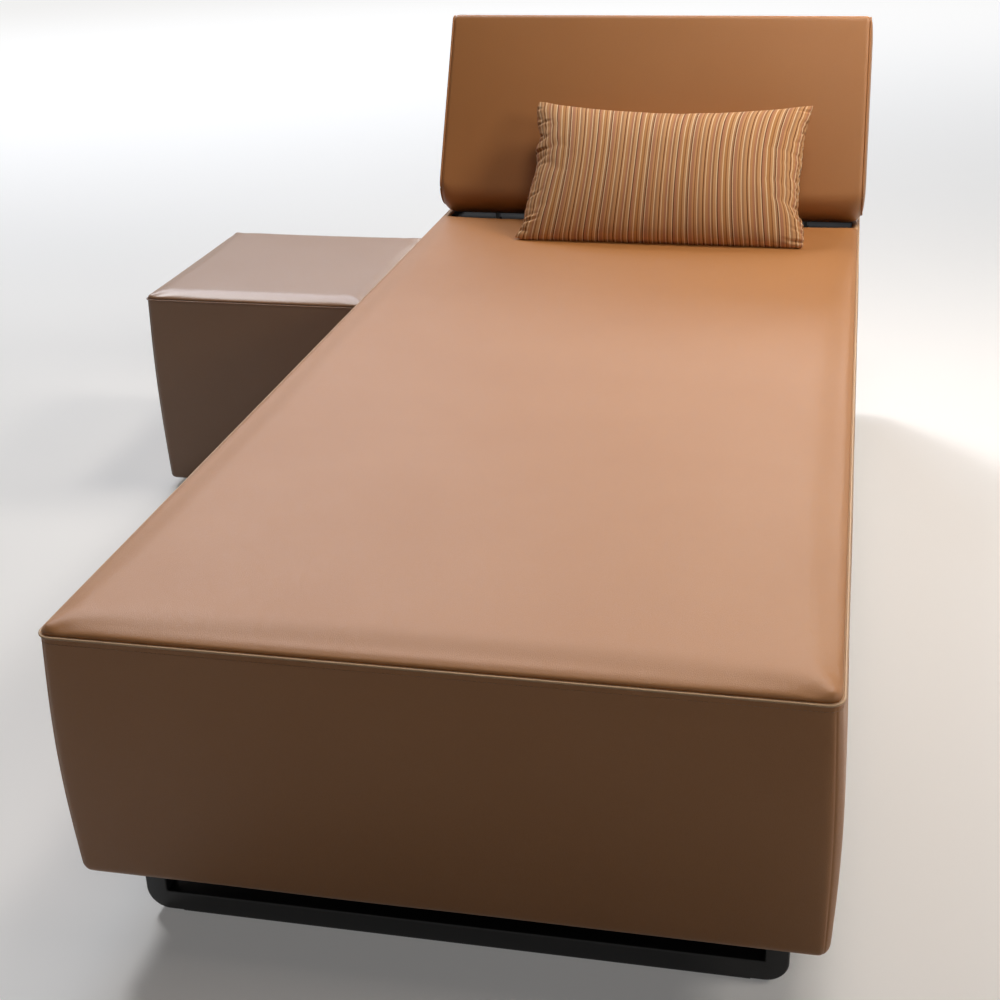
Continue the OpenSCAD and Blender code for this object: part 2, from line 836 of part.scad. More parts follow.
function pillow_ring(share, face, t) =
    [for (p = square_path())
        let (corner = p[0] * p[0] * p[1] * p[1],
             pull_x = 1 - pillow_side_share * (1 - p[1] * p[1]) * share,
             pull_y = 1 - pillow_top_share * (1 - p[0] * p[0]) * share,
             oval = 1 / norm(p),
             round = oval + (1 - oval) * pow(share, 3),
             depth = pow(1 - pow(share, dome_power), edge_power)
                     * (1 - pillow_thin_share * corner * share * share))
        [(pillow_w / 2 - t) * share * p[0] * pull_x * round,
         (pillow_h / 2 - t) * share * p[1] * pull_y * round,
         face * ((face > 0 ? pillow_front : pillow_back) - t) * depth]];

function pillow_rings(t, shares) = concat(
    [for (s = shares) pillow_ring(s, -1, t)],
    [for (i = [len(shares) - 2:-1:0]) pillow_ring(shares[i], 1, t)]);

// The pillow rests on the crowned top and leans on the swollen front of the backrest
function leaned(p) = [p[0], p[1] * sin(pillow_lean) - p[2] * cos(pillow_lean),
                      p[1] * cos(pillow_lean) + p[2] * sin(pillow_lean)];
pillow_points = [for (p = joined(pillow_rings(0, pillow_ring_shares))) leaned(p)];
pillow_rest_z = panel_low + crown_h + soft_gap;
pillow_z = pillow_rest_z + pillow_seam_lift + pillow_h / 2 * cos(pillow_lean);
pillow_reach = max([for (p = pillow_points) if (p[2] > pillow_rest_z - pillow_z) p * out_dir]);
pillow_y = hinge_y + ((pillow_z - hinge_z) * sin(back_lean) - back_r
                      - touch_share * back_crown - soft_gap - pillow_reach) / cos(back_lean);

// Its weight flattens it where it stands on the padded top
module pillow_form(t, shares) {
    difference() {
        translate([pillow_x, pillow_y, pillow_z])
            rotate([90 - pillow_lean, 0, 0])
                skin(pillow_rings(t, shares));
        translate([pillow_x - pillow_w, pillow_y - pillow_h, pillow_rest_z + t - pillow_cut_h])
            cube([2 * pillow_w, 2 * pillow_h, pillow_cut_h]);
    }
}

module pillow_filling() {
    color("white")
        pillow_form(cover_t + soft_gap, filling_ring_shares);
}

module pillow_cover() {
    color(stripe_tan)
        difference() {
            pillow_form(0, pillow_ring_shares);
            pillow_form(cover_t, pillow_ring_shares);
        }
}

module stool_carcass() {
    color(ply)
        difference() {
            in_outline(stool_rect, stool_frame_r, stool_in, stool_frame_low, stool_lid_low)
                translate([stool_x0, stool_y, 0])
                    cube([stool_w, stool_l, stool_h]);
            translate([stool_x0 + stool_in + carcass_t, stool_y + stool_in + carcass_t, 0])
                cube([stool_w - 2 * (stool_in + carcass_t), stool_l - 2 * (stool_in + carcass_t),
                      stool_h]);
        }
}

module stool_lid_board() {
    color(ply)
        translate([0, 0, stool_lid_low])
            linear_extrude(deck_t)
                round_rect(stool_rect, stool_frame_r, -stool_in);
}

module stool_padding() {
    color(foam_yellow)
        wall_padding(stool_rect, stool_radii, plinth_h, stool_h - flange_t / 2,
                     stool_h - stool_foam_h - soft_gap, stool_bulge, stool_edge_r,
                     soft_gap - stool_in);
}

module stool_foam() {
    color(foam_yellow)
        crown_block(stool_rect, stool_radii, stool_h - stool_foam_h, stool_h + flange_t / 2,
                    stool_crown, stool_roll, welt_flange_w / 2);
}

module stool_top_cover() {
    color(tan)
        crown_shell(stool_rect, stool_radii, stool_h + flange_t / 2, stool_crown, stool_roll);
}

module stool_side_cover() {
    color(tan_shade)
        box_cover(stool_rect, stool_radii, plinth_h, stool_h - flange_t / 2, stool_bulge,
                  stool_edge_r, hem_w, cover_t + over);
}

module stool_welt() {
    color(tan_shade)
        piping(stool_rect, stool_r, stool_welt_r, welt_flange_w / 2, stool_h);
}

module stool_dust_cover() {
    color(black)
        translate([0, 0, plinth_h])
            linear_extrude(cover_t)
                round_rect(stool_rect, stool_r / 2, -stool_edge_r - hem_w - soft_gap);
}

module stool_plinth() {
    color(black)
        translate([stool_x0 + plinth_in, stool_y + plinth_in, foot_h])
            difference() {
                cube([stool_w - 2 * plinth_in, stool_l - 2 * plinth_in, plinth_h - foot_h]);
                translate([carcass_t, carcass_t, -over])
                    cube([stool_w - 2 * (plinth_in + carcass_t),
                          stool_l - 2 * (plinth_in + carcass_t), plinth_h]);
            }
}

module stool_feet() {
    color(black)
        for (x = [stool_x0 + plinth_in + foot_in, stool_x1 - plinth_in - foot_in],
             y = [stool_y + plinth_in + carcass_t / 2, stool_y1 - plinth_in - carcass_t / 2])
            translate([x, y, 0])
                cylinder(r = foot_r, h = foot_h);
}

side_rails();
end_rails();
cross_rails();
corner_blocks();
deck_board();
slot_foam();
seat_foam();
side_padding();
seat_cover();
side_cover();
seat_piping();
slot_lining();
dust_cover();
front_leg();
rear_leg();
leg_plates();
leg_bolts();
foot_strips();
hinge_blocks();
hinge_ears();
ear_screws();
hinge_pins();
hinge_arms();
arm_screws();
back_board();
back_foam();
back_cover();
back_welts();
pillow_filling();
pillow_cover();
stool_carcass();
stool_lid_board();
stool_foam();
stool_padding();
stool_top_cover();
stool_side_cover();
stool_welt();
stool_dust_cover();
stool_plinth();
stool_feet();
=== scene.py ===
# A relaxation lounger with a reclining backrest, a scatter pillow and a cube stool, dressed over its frame.
# Metres. The head end is towards +Y, and up is +Z.

import json
import math
import random
import time

import bmesh
import bpy
import numpy as np
from mathutils import Matrix, Vector, noise
from mathutils.bvhtree import BVHTree


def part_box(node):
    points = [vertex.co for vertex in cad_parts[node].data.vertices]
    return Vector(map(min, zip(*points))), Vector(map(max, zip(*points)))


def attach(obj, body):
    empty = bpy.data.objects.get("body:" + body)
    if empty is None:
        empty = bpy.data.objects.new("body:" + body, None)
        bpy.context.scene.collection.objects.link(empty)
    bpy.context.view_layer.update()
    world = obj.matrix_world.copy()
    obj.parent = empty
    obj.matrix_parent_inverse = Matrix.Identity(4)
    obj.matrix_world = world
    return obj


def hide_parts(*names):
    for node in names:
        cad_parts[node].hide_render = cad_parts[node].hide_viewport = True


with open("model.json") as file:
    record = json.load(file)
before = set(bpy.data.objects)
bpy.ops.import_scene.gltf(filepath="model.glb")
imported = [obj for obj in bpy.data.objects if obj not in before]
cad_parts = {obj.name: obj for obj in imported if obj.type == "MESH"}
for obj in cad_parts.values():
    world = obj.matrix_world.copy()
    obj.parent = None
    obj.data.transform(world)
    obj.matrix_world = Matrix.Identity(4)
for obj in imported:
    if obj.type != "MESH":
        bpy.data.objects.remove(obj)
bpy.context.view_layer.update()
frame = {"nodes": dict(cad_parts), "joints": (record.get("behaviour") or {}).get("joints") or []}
scene = bpy.context.scene
mm = 0.001


def tint(red, green, blue):
    # A colour as a picture editor names it, turned into Blender's linear values
    return tuple((c / 255 / 12.92 if c < 11 else ((c / 255 + 0.055) / 1.055) ** 2.4)
                 for c in (red, green, blue)) + (1.0,)


# Shorthands for shader trees
def put(tree, kind, settings=None, **sockets):
    node = tree.nodes.new("ShaderNode" + kind)
    for key, value in (settings or {}).items():
        setattr(node, key, value)
    for key, value in sockets.items():
        node.inputs[key.replace("_", " ")].default_value = value
    return node


def wire(tree, *pairs):
    for out, into in pairs:
        tree.links.new(out, into)


def blank(name):
    material = bpy.data.materials.new(name)
    material.use_nodes = True
    return material, material.node_tree, material.node_tree.nodes["Principled BSDF"]


def sums(tree, operation, first, second):
    node = put(tree, "Math", dict(operation=operation))
    for socket, value in zip(node.inputs, (first, second)):
        if isinstance(value, (int, float)):
            socket.default_value = value
        else:
            tree.links.new(value, socket)
    return node.outputs[0]


def blended(tree, share, first, second):
    node = put(tree, "Mix", dict(data_type="RGBA"))
    for socket, value in ((node.inputs["Factor"], share), (node.inputs[6], first), (node.inputs[7], second)):
        if isinstance(value, (int, float, tuple)):
            socket.default_value = value
        else:
            tree.links.new(value, socket)
    return node.outputs[2]


def ranged(tree, value, low, high):
    node = put(tree, "MapRange", To_Min=low, To_Max=high)
    tree.links.new(value, node.inputs["Value"])
    return node.outputs[0]


# The camera stands where the photograph's did
camera = dict(
    eye=(0.3831, -1.2116, 1.1663),
    turn=0.1956, dip=0.3809, roll=-0.0253,   # radians: to the left, downwards, about the line of sight
    focal=1468.0, middle=(573.3, 373.6),     # in pixels of the photograph
    photo=1000.0, sensor=36.0, clip=(0.05, 60),
)


def placeCamera():
    data = bpy.data.cameras.new("camera")
    data.sensor_width = camera["sensor"]
    data.lens = camera["focal"] * camera["sensor"] / camera["photo"]
    half = camera["photo"] / 2
    data.shift_x = (half - camera["middle"][0]) / camera["photo"]
    data.shift_y = -(half - camera["middle"][1]) / camera["photo"]
    data.clip_start, data.clip_end = camera["clip"]
    obj = bpy.data.objects.new("camera", data)
    scene.collection.objects.link(obj)
    turn, dip, roll = camera["turn"], camera["dip"], camera["roll"]
    ahead = Vector((-math.sin(turn) * math.cos(dip), math.cos(turn) * math.cos(dip), -math.sin(dip)))
    right = Vector((math.cos(turn), math.sin(turn), 0))
    up = right.cross(ahead)
    side = right * math.cos(roll) + up * math.sin(roll)
    top = side.cross(ahead)
    axes = Matrix((side, top, -ahead)).transposed()
    obj.matrix_world = Matrix.Translation(camera["eye"]) @ axes.to_4x4()
    scene.camera = obj


lights = dict(
    target=(0, 0.75, 0.4),
    # near lamps: place, width, depth, watts, tint
    overHead=((0.5, 1.3, 3.2), 0.7, 0.7, 22.0, (255, 247, 238)),
    headRight=((0.9, 1.5, 1.7), 0.44, 0.44, 12.5, (255, 246, 236)),
    right=((2.5, 0.15, 1.75), 0.62, 0.62, 17.0, (255, 248, 240)),
    front=((0.9, -1.6, 1.9), 0.6, 0.6, 3.0, (255, 248, 240)),
    behindLeft=((-2.5, 5.0, 4.0), 3.0, 2.0, 128.0, (234, 242, 255)),
    # far lamps: degrees round from the right-hand side, degrees up, softness in degrees, strength
    behind=(90, 25, 10, 0.39),
    behindHigh=(135, 45, 10, 0.90),
    sky=0.02, backdrop=0.4,
    floorColour=(236, 234, 231), floorBounce=(122, 121, 118),
    floorNear=(1.2, 0.12), floorFar=(7.0, 0.62),     # distance from the middle, and glow there
    floorWidth=40.0, floorRough=0.9, farAway=6.0,
)


def placeLights():
    aim = Vector(lights["target"])
    for name in ("overHead", "headRight", "right", "front", "behindLeft"):
        place, width, depth, watts, shade = lights[name]
        data = bpy.data.lights.new(name, "AREA")
        data.shape, data.size, data.size_y, data.energy = "RECTANGLE", width, depth, watts
        data.color = tint(*shade)[:3]
        lamp = bpy.data.objects.new(name, data)
        lamp.location = place
        lamp.rotation_euler = (aim - Vector(place)).to_track_quat("-Z", "Y").to_euler()
        scene.collection.objects.link(lamp)
    for name in ("behind", "behindHigh"):
        around, up, soft, strength = lights[name]
        data = bpy.data.lights.new(name, "SUN")
        data.angle, data.energy = math.radians(soft), strength
        lamp = bpy.data.objects.new(name, data)
        a, e = math.radians(around), math.radians(up)
        way = Vector((math.cos(a) * math.cos(e), math.sin(a) * math.cos(e), math.sin(e)))
        lamp.location = aim + way * lights["farAway"]
        lamp.rotation_euler = (-way).to_track_quat("-Z", "Y").to_euler()
        scene.collection.objects.link(lamp)
    world = bpy.data.worlds.new("room")
    scene.world = world
    world.use_nodes = True
    tree = world.node_tree
    tree.nodes.clear()
    rays = put(tree, "LightPath")
    seen = sums(tree, "MAXIMUM", rays.outputs["Is Camera Ray"], rays.outputs["Is Glossy Ray"])
    more = sums(tree, "MAXIMUM", seen, rays.outputs["Is Transmission Ray"])
    shade = put(tree, "Background")
    wire(tree, (ranged(tree, more, lights["sky"], lights["backdrop"]), shade.inputs["Strength"]),
         (shade.outputs[0], put(tree, "OutputWorld").inputs["Surface"]))
    half = lights["floorWidth"] / 2
    mesh = bpy.data.meshes.new("floor")
    mesh.from_pydata([(-half, -half, 0), (half, -half, 0), (half, half, 0), (-half, half, 0)],
                     [], [(0, 1, 2, 3)])
    floor = bpy.data.objects.new("floor", mesh)
    scene.collection.objects.link(floor)
    # The floor looks pale, paler with distance, and throws back the light of a greyer one
    paint, tree, shader = blank("floorPaint")
    rays = put(tree, "LightPath")
    seen = sums(tree, "MAXIMUM", rays.outputs["Is Camera Ray"], rays.outputs["Is Glossy Ray"])
    bounce, colour = tint(*lights["floorBounce"]), tint(*lights["floorColour"])
    wire(tree, (blended(tree, seen, bounce, colour),
                shader.inputs["Base Color"]))
    away = put(tree, "VectorMath", dict(operation="DISTANCE"))
    away.inputs[1].default_value = (0, lights["target"][1], 0)
    (near, nearGlow), (far, farGlow) = lights["floorNear"], lights["floorFar"]
    reach = put(tree, "MapRange", dict(interpolation_type="SMOOTHSTEP"), From_Min=near, From_Max=far,
                To_Min=nearGlow, To_Max=farGlow)
    wire(tree, (put(tree, "TexCoord").outputs["Object"], away.inputs[0]),
         (away.outputs["Value"], reach.inputs["Value"]),
         (sums(tree, "MULTIPLY", seen, reach.outputs[0]), shader.inputs["Emission Strength"]))
    shader.inputs["Emission Color"].default_value = (1, 1, 1, 1)
    shader.inputs["Roughness"].default_value = lights["floorRough"]
    mesh.materials.append(paint)


scene.view_settings.view_transform = "Standard"
placeCamera()
placeLights()
print("camera and lights placed")


# Leatherette: pebbled film over knitted backing, a little paler where it is stretched over an edge
leathers = dict(
    cover=dict(colour=(184, 124, 68), deep=(172, 113, 60), edge=(196, 138, 84), gloss=(0.40, 0.48),
               coat=0.0),
    # The stool's leather is the lounger's painted darker and greyer: painted shade, standing for the dimmer
    # light that falls on the stool
    stoolShadedCover=dict(colour=(156, 111, 71), deep=(146, 100, 60), edge=(176, 128, 84), gloss=(0.36, 0.44),
                    coat=0.35),
    piping=dict(colour=(222, 184, 142), deep=(204, 162, 118), edge=(232, 198, 160), gloss=(0.38, 0.48),
                coat=0.0),
)
pebble = dict(size=1.3 * mm, depth=0.16 * mm, pore=0.35 * mm, fold=55 * mm, foldDepth=0.2 * mm,
              cloudScale=5.0, specular=0.6, coatRough=0.32, flat=0.22, poreShare=0.35, valleyShare=0.35,
              wornShare=0.25)


def leather(name):
    look = leathers[name]
    material, tree, shader = blank(name)
    place = put(tree, "TexCoord").outputs["Object"]
    cells = put(tree, "TexVoronoi", dict(feature="DISTANCE_TO_EDGE"), Scale=1 / pebble["size"])
    pores = put(tree, "TexNoise", Scale=1 / pebble["pore"], Detail=2.0)
    folds = put(tree, "TexNoise", Scale=1 / pebble["fold"], Detail=3.0, Roughness=0.55)
    cloud = put(tree, "TexNoise", Scale=pebble["cloudScale"], Detail=4.0, Roughness=0.6)
    worn = put(tree, "Attribute", dict(attribute_name="worn"))
    wire(tree, *[(place, node.inputs["Vector"]) for node in (cells, pores, folds, cloud)])
    grain = put(tree, "MapRange", dict(interpolation_type="SMOOTHSTEP"), From_Max=pebble["flat"])
    wire(tree, (cells.outputs["Distance"], grain.inputs["Value"]))
    poreHeight = sums(tree, "MULTIPLY", pores.outputs[0], pebble["poreShare"])
    height = sums(tree, "ADD", grain.outputs[0], poreHeight)
    fine = put(tree, "Bump", Strength=0.55, Distance=pebble["depth"])
    wide = put(tree, "Bump", Strength=0.5, Distance=pebble["foldDepth"])
    wire(tree, (height, fine.inputs["Height"]), (folds.outputs[0], wide.inputs["Height"]),
         (wide.outputs[0], fine.inputs["Normal"]), (fine.outputs[0], shader.inputs["Normal"]))
    colour, deep, edge = (tint(*look[key]) for key in ("colour", "deep", "edge"))
    clouded = blended(tree, ranged(tree, cloud.outputs[0], -0.2, 0.7), colour, deep)
    valleys = sums(tree, "MULTIPLY", ranged(tree, grain.outputs[0], 1.0, 0.0), pebble["valleyShare"])
    creased = blended(tree, valleys, clouded, deep)
    edged = blended(tree, sums(tree, "MULTIPLY", worn.outputs["Fac"], pebble["wornShare"]), creased, edge)
    wire(tree, (edged, shader.inputs["Base Color"]),
         (ranged(tree, cloud.outputs[0], *look["gloss"]), shader.inputs["Roughness"]))
    shader.inputs["Specular IOR Level"].default_value = pebble["specular"]
    shader.inputs["Coat Weight"].default_value = look["coat"]
    shader.inputs["Coat Roughness"].default_value = pebble["coatRough"]
    return material


# Woven stripes: one repeat of bands across the pillow, each band's end as a share of the repeat
stripes = dict(
    repeat=87 * mm, thread=0.45 * mm, weave=0.05 * mm, drift=1.6 * mm,
    colours=dict(tan=(204, 148, 98), sand=(212, 160, 110), cream=(246, 216, 174), brown=(120, 72, 38),
                 bark=(152, 98, 56), taupe=(182, 134, 94), rose=(190, 132, 96), ochre=(198, 142, 88)),
    bands=[(0.020, "brown"), (0.05, "tan"), (0.068, "cream"), (0.13, "tan"), (0.18, "rose"),
           (0.198, "cream"), (0.225, "taupe"), (0.245, "bark"), (0.31, "sand"), (0.332, "cream"),
           (0.352, "brown"), (0.40, "rose"), (0.44, "tan"), (0.458, "cream"), (0.52, "ochre"),
           (0.54, "bark"), (0.59, "sand"), (0.61, "cream"), (0.65, "taupe"), (0.672, "brown"),
           (0.69, "cream"), (0.76, "rose"), (0.80, "sand"), (0.82, "bark"), (0.87, "tan"),
           (0.888, "cream"), (0.94, "taupe"), (1.0, "sand")],
)


def stripedCloth():
    material, tree, shader = blank("stripedCloth")
    run = put(tree, "SeparateXYZ")
    spot = put(tree, "UVMap", dict(uv_map="cut"))
    wire(tree, (spot.outputs[0], run.inputs[0]))
    across, along = run.outputs[0], run.outputs[1]
    wander = put(tree, "TexNoise", dict(noise_dimensions="1D"), Scale=14.0, Detail=2.0)
    wire(tree, (across, wander.inputs["W"]))
    moved = sums(tree, "ADD", across, sums(tree, "MULTIPLY", sums(tree, "SUBTRACT", wander.outputs[0], 0.5),
                                          2 * stripes["drift"]))
    turns = sums(tree, "FRACT", sums(tree, "MULTIPLY", moved, 1 / stripes["repeat"]), 0)
    ramp = put(tree, "ValToRGB")
    ramp.color_ramp.interpolation = "CONSTANT"
    ramp.color_ramp.elements.remove(ramp.color_ramp.elements[-1])
    start = 0.0
    for i, (end, name) in enumerate(stripes["bands"]):
        stop = ramp.color_ramp.elements[0] if i == 0 else ramp.color_ramp.elements.new(start)
        stop.color = tint(*stripes["colours"][name])
        start = end
    wire(tree, (turns, ramp.inputs[0]))
    # Threads: warp and weft under and over each other, each a slightly different shade
    warp = put(tree, "TexVoronoi", dict(voronoi_dimensions="1D"), Scale=1 / stripes["thread"])
    weft = put(tree, "TexVoronoi", dict(voronoi_dimensions="1D"), Scale=1 / stripes["thread"])
    wire(tree, (across, warp.inputs["W"]), (along, weft.inputs["W"]))
    fibre = put(tree, "TexNoise", Scale=900.0, Detail=3.0)
    wire(tree, (spot.outputs[0], fibre.inputs["Vector"]))
    shadeOf = sums(tree, "ADD", sums(tree, "MULTIPLY", warp.outputs["Color"], 0.5),
                   sums(tree, "MULTIPLY", fibre.outputs[0], 0.5))
    darker = blended(tree, ranged(tree, shadeOf, 0.0, 0.22), ramp.outputs[0], tint(96, 64, 46))
    wire(tree, (darker, shader.inputs["Base Color"]))
    over = put(tree, "Math", dict(operation="PINGPONG"))
    under = put(tree, "Math", dict(operation="PINGPONG"))
    over.inputs[1].default_value = under.inputs[1].default_value = 0.5
    wire(tree, (sums(tree, "MULTIPLY", across, 1 / stripes["thread"]), over.inputs[0]),
         (sums(tree, "MULTIPLY", along, 1 / stripes["thread"]), under.inputs[0]))
    bump = put(tree, "Bump", Strength=0.6, Distance=stripes["weave"])
    wire(tree, (sums(tree, "ADD", sums(tree, "ADD", over.outputs[0], under.outputs[0]), fibre.outputs[0]),
                bump.inputs["Height"]), (bump.outputs[0], shader.inputs["Normal"]))
    shader.inputs["Roughness"].default_value = 0.85
    shader.inputs["Specular IOR Level"].default_value = 0.15
    shader.inputs["Sheen Weight"].default_value = 0.06
    shader.inputs["Sheen Roughness"].default_value = 0.45
    return material


# Plain finishes: colour, darker colour, roughness low and high, metal share, grain size, grain depth
finishes = dict(
    powderCoat=((26, 26, 27), (17, 17, 18), (0.34, 0.46), 0.0, 1.6 * mm, 0.05 * mm),
    zincSteel=((196, 198, 202), (150, 152, 156), (0.28, 0.45), 1.0, 3.0 * mm, 0.02 * mm),
    birchPly=((214, 184, 138), (184, 146, 98), (0.6, 0.75), 0.0, 4.0 * mm, 0.08 * mm),
    rubber=((22, 22, 22), (14, 14, 14), (0.6, 0.78), 0.0, 0.8 * mm, 0.06 * mm),
    blackPaint=((24, 23, 22), (14, 14, 14), (0.45, 0.6), 0.0, 5.0 * mm, 0.06 * mm),
    blackCloth=((13, 12, 12), (7, 7, 7), (0.85, 0.98), 0.0, 0.7 * mm, 0.12 * mm),
    foam=((226, 214, 178), (206, 190, 150), (0.9, 1.0), 0.0, 1.2 * mm, 0.3 * mm),
    thread=((186, 150, 112), (160, 126, 92), (0.5, 0.65), 0.0, 0.4 * mm, 0.05 * mm),
)


def plainFinish(name):
    colour, dark, gloss, metal, size, depth = finishes[name]
    material, tree, shader = blank(name)
    place = put(tree, "TexCoord").outputs["Object"]
    stretch = put(tree, "Mapping")
    if name == "birchPly":
        stretch.inputs["Scale"].default_value = (0.06, 1, 1)     # long grain along the boards
    if name == "zincSteel":
        stretch.inputs["Scale"].default_value = (1, 1, 0.12)     # brushed up and down
    grain = put(tree, "TexNoise", Scale=1 / size, Detail=3.0)
    cloud = put(tree, "TexNoise", Scale=0.02 / size, Detail=4.0)
    wire(tree, (place, stretch.inputs["Vector"]), (stretch.outputs[0], grain.inputs["Vector"]),
         (stretch.outputs[0], cloud.inputs["Vector"]))
    bump = put(tree, "Bump", Strength=0.6, Distance=depth)
    wire(tree, (grain.outputs[0], bump.inputs["Height"]), (bump.outputs[0], shader.inputs["Normal"]))
    mixed = sums(tree, "ADD", sums(tree, "MULTIPLY", grain.outputs[0], 0.5),
                 sums(tree, "MULTIPLY", cloud.outputs[0], 0.5))
    wire(tree, (blended(tree, ranged(tree, mixed, -0.3, 1.0), tint(*colour), tint(*dark)),
                shader.inputs["Base Color"]),
         (ranged(tree, cloud.outputs[0], *gloss), shader.inputs["Roughness"]))
    shader.inputs["Metallic"].default_value = metal
    return material


paints = {name: leather(name) for name in leathers}
paints["stripedCloth"] = stripedCloth()
paints.update({name: plainFinish(name) for name in finishes})
print("materials made:", len(paints))


# Shorthands for meshes
def meshPiece(name, points, faces, paint, smooth=True):
    mesh = bpy.data.meshes.new(name)
    mesh.from_pydata([tuple(map(float, p)) for p in points], [], faces)
    mesh.update()
    if smooth:
        mesh.shade_smooth()
    mesh.materials.append(paints[paint])
    piece = bpy.data.objects.new(name, mesh)
    scene.collection.objects.link(piece)
    return piece


def spots(piece):
    values = np.empty(len(piece.data.vertices) * 3, np.float32)
    piece.data.vertices.foreach_get("co", values)
    return values.reshape(-1, 3).astype(float)


def setSpots(piece, points):
    piece.data.vertices.foreach_set("co", np.asarray(points, np.float32).ravel())
    piece.data.update()


def setWorn(piece, values):
    worn = piece.data.attributes.new("worn", "FLOAT", "POINT")
    worn.data.foreach_set("value", np.asarray(values, np.float32))


def applied(piece):
    # The piece's modifiers turned into its plain mesh
    bpy.context.view_layer.update()
    shown = piece.evaluated_get(bpy.context.evaluated_depsgraph_get())
    old = piece.data
    piece.data = bpy.data.meshes.new_from_object(shown)
    piece.modifiers.clear()
    bpy.data.meshes.remove(old)
    return piece


def refined(piece, levels=1):
    smoother = piece.modifiers.new("finer", "SUBSURF")
    smoother.levels = smoother.render_levels = levels
    return applied(piece)


# Cloth stretched over its foam: air pressure stands for the foam, and the seams are held
def relaxed(piece, held, pressure, cap, stiff, bend, frames, gathered=None):
    before, began = spots(piece), time.time()
    group = piece.vertex_groups.new(name="held")
    for i, share in enumerate(held):
        if share > 0:
            group.add([i], float(share), "REPLACE")
    cloth = piece.modifiers.new("cloth", "CLOTH")
    how = cloth.settings
    how.quality = 4
    how.mass = 0.25
    how.tension_stiffness = how.compression_stiffness = stiff
    how.shear_stiffness = stiff / 4
    how.bending_stiffness = bend
    how.air_damping = 4
    how.use_pressure = True
    how.uniform_pressure_force = pressure
    how.effector_weights.gravity = 0
    how.vertex_group_mass = "held"
    if gathered is not None:
        tight = piece.vertex_groups.new(name="gathered")
        for i, share in enumerate(gathered):
            if share > 0:
                tight.add([i], float(share), "REPLACE")
        how.vertex_group_shrink = "gathered"
        how.shrink_max = gathered.max()
    cloth.collision_settings.use_collision = False
    for step in range(1, frames + 1):
        scene.frame_set(step)
    shown = piece.evaluated_get(bpy.context.evaluated_depsgraph_get())
    moved = np.empty(len(before) * 3, np.float32)
    shown.data.vertices.foreach_get("co", moved)
    shift = moved.reshape(-1, 3) - before
    size = np.linalg.norm(shift, axis=1, keepdims=True)
    shift *= np.minimum(1, cap / np.maximum(size, 1e-9))
    piece.modifiers.remove(cloth)
    piece.vertex_groups.clear()
    scene.frame_set(1)
    setSpots(piece, before + shift)
    print(piece.name, "settled, moved at most", round(float(size.max()) / mm, 1), "mm, seconds",
          round(time.time() - began))
    return piece


def towards(degrees):
    return np.array((math.cos(math.radians(degrees)), math.sin(math.radians(degrees))))


# Lines round a rectangle with rounded corners, anticlockwise from the end of its near right corner
def roundedEdge(x0, x1, y0, y1, near, far):
    spans, run = [], 0.0
    corners = [(x1, y0, -1, 1, near, -90), (x1, y1, -1, -1, far, 0), (x0, y1, 1, -1, far, 90),
               (x0, y0, 1, 1, near, 180)]
    for k, (x, y, sx, sy, r, start) in enumerate(corners):
        centre = np.array((x + sx * r, y + sy * r))
        spans.append((run, r * math.pi / 2, "arc", centre, r, start))
        run += r * math.pi / 2
        nx, ny, nsx, nsy, nr, nstart = corners[(k + 1) % 4]
        here = centre + r * towards(start + 90)
        there = np.array((nx + nsx * nr, ny + nsy * nr)) + nr * towards(nstart)
        spans.append((run, float(np.linalg.norm(there - here)), "straight", here, there, start + 90))
        run += spans[-1][1]
    return spans, run


def alongEdge(spans, runs):
    points, outs = [], []
    total = spans[-1][0] + spans[-1][1]
    for s in runs:
        s = s % total
        for start, length, kind, first, second, angle in spans:
            if s <= start + length + 1e-9:
                break
        k = (s - start) / length
        out = towards(angle + 90 * k if kind == "arc" else angle)
        points.append(first + second * out if kind == "arc" else first + (second - first) * k)
        outs.append(out)
    return np.array(points), np.array(outs)


def edgeRuns(spans, straight, arc):
    # Where the columns stand along the line: close together round the corners
    runs = []
    for start, length, kind, *_ in spans:
        n = max(3, round(length / (arc if kind == "arc" else straight)))
        runs += [start + length * i / n for i in range(n)]
    return np.array(runs)


def graded(low, high, band, step):
    # Places from low to high: crowded towards both ends like the crown's curve, even between
    turn = [band * share for share in (0, 0.012, 0.04, 0.08, 0.13, 0.24, 0.4, 0.6, 0.8)]
    n = max(2, round((high - low - 2 * band) / step))
    middle = [low + band + (high - low - 2 * band) * i / n for i in range(n + 1)]
    return np.array([low + t for t in turn] + middle + [high - t for t in reversed(turn)])


def ripple(place, size, seed=0.0):
    return noise.noise(Vector(place) / size + Vector((seed, 2 * seed, 3 * seed)))


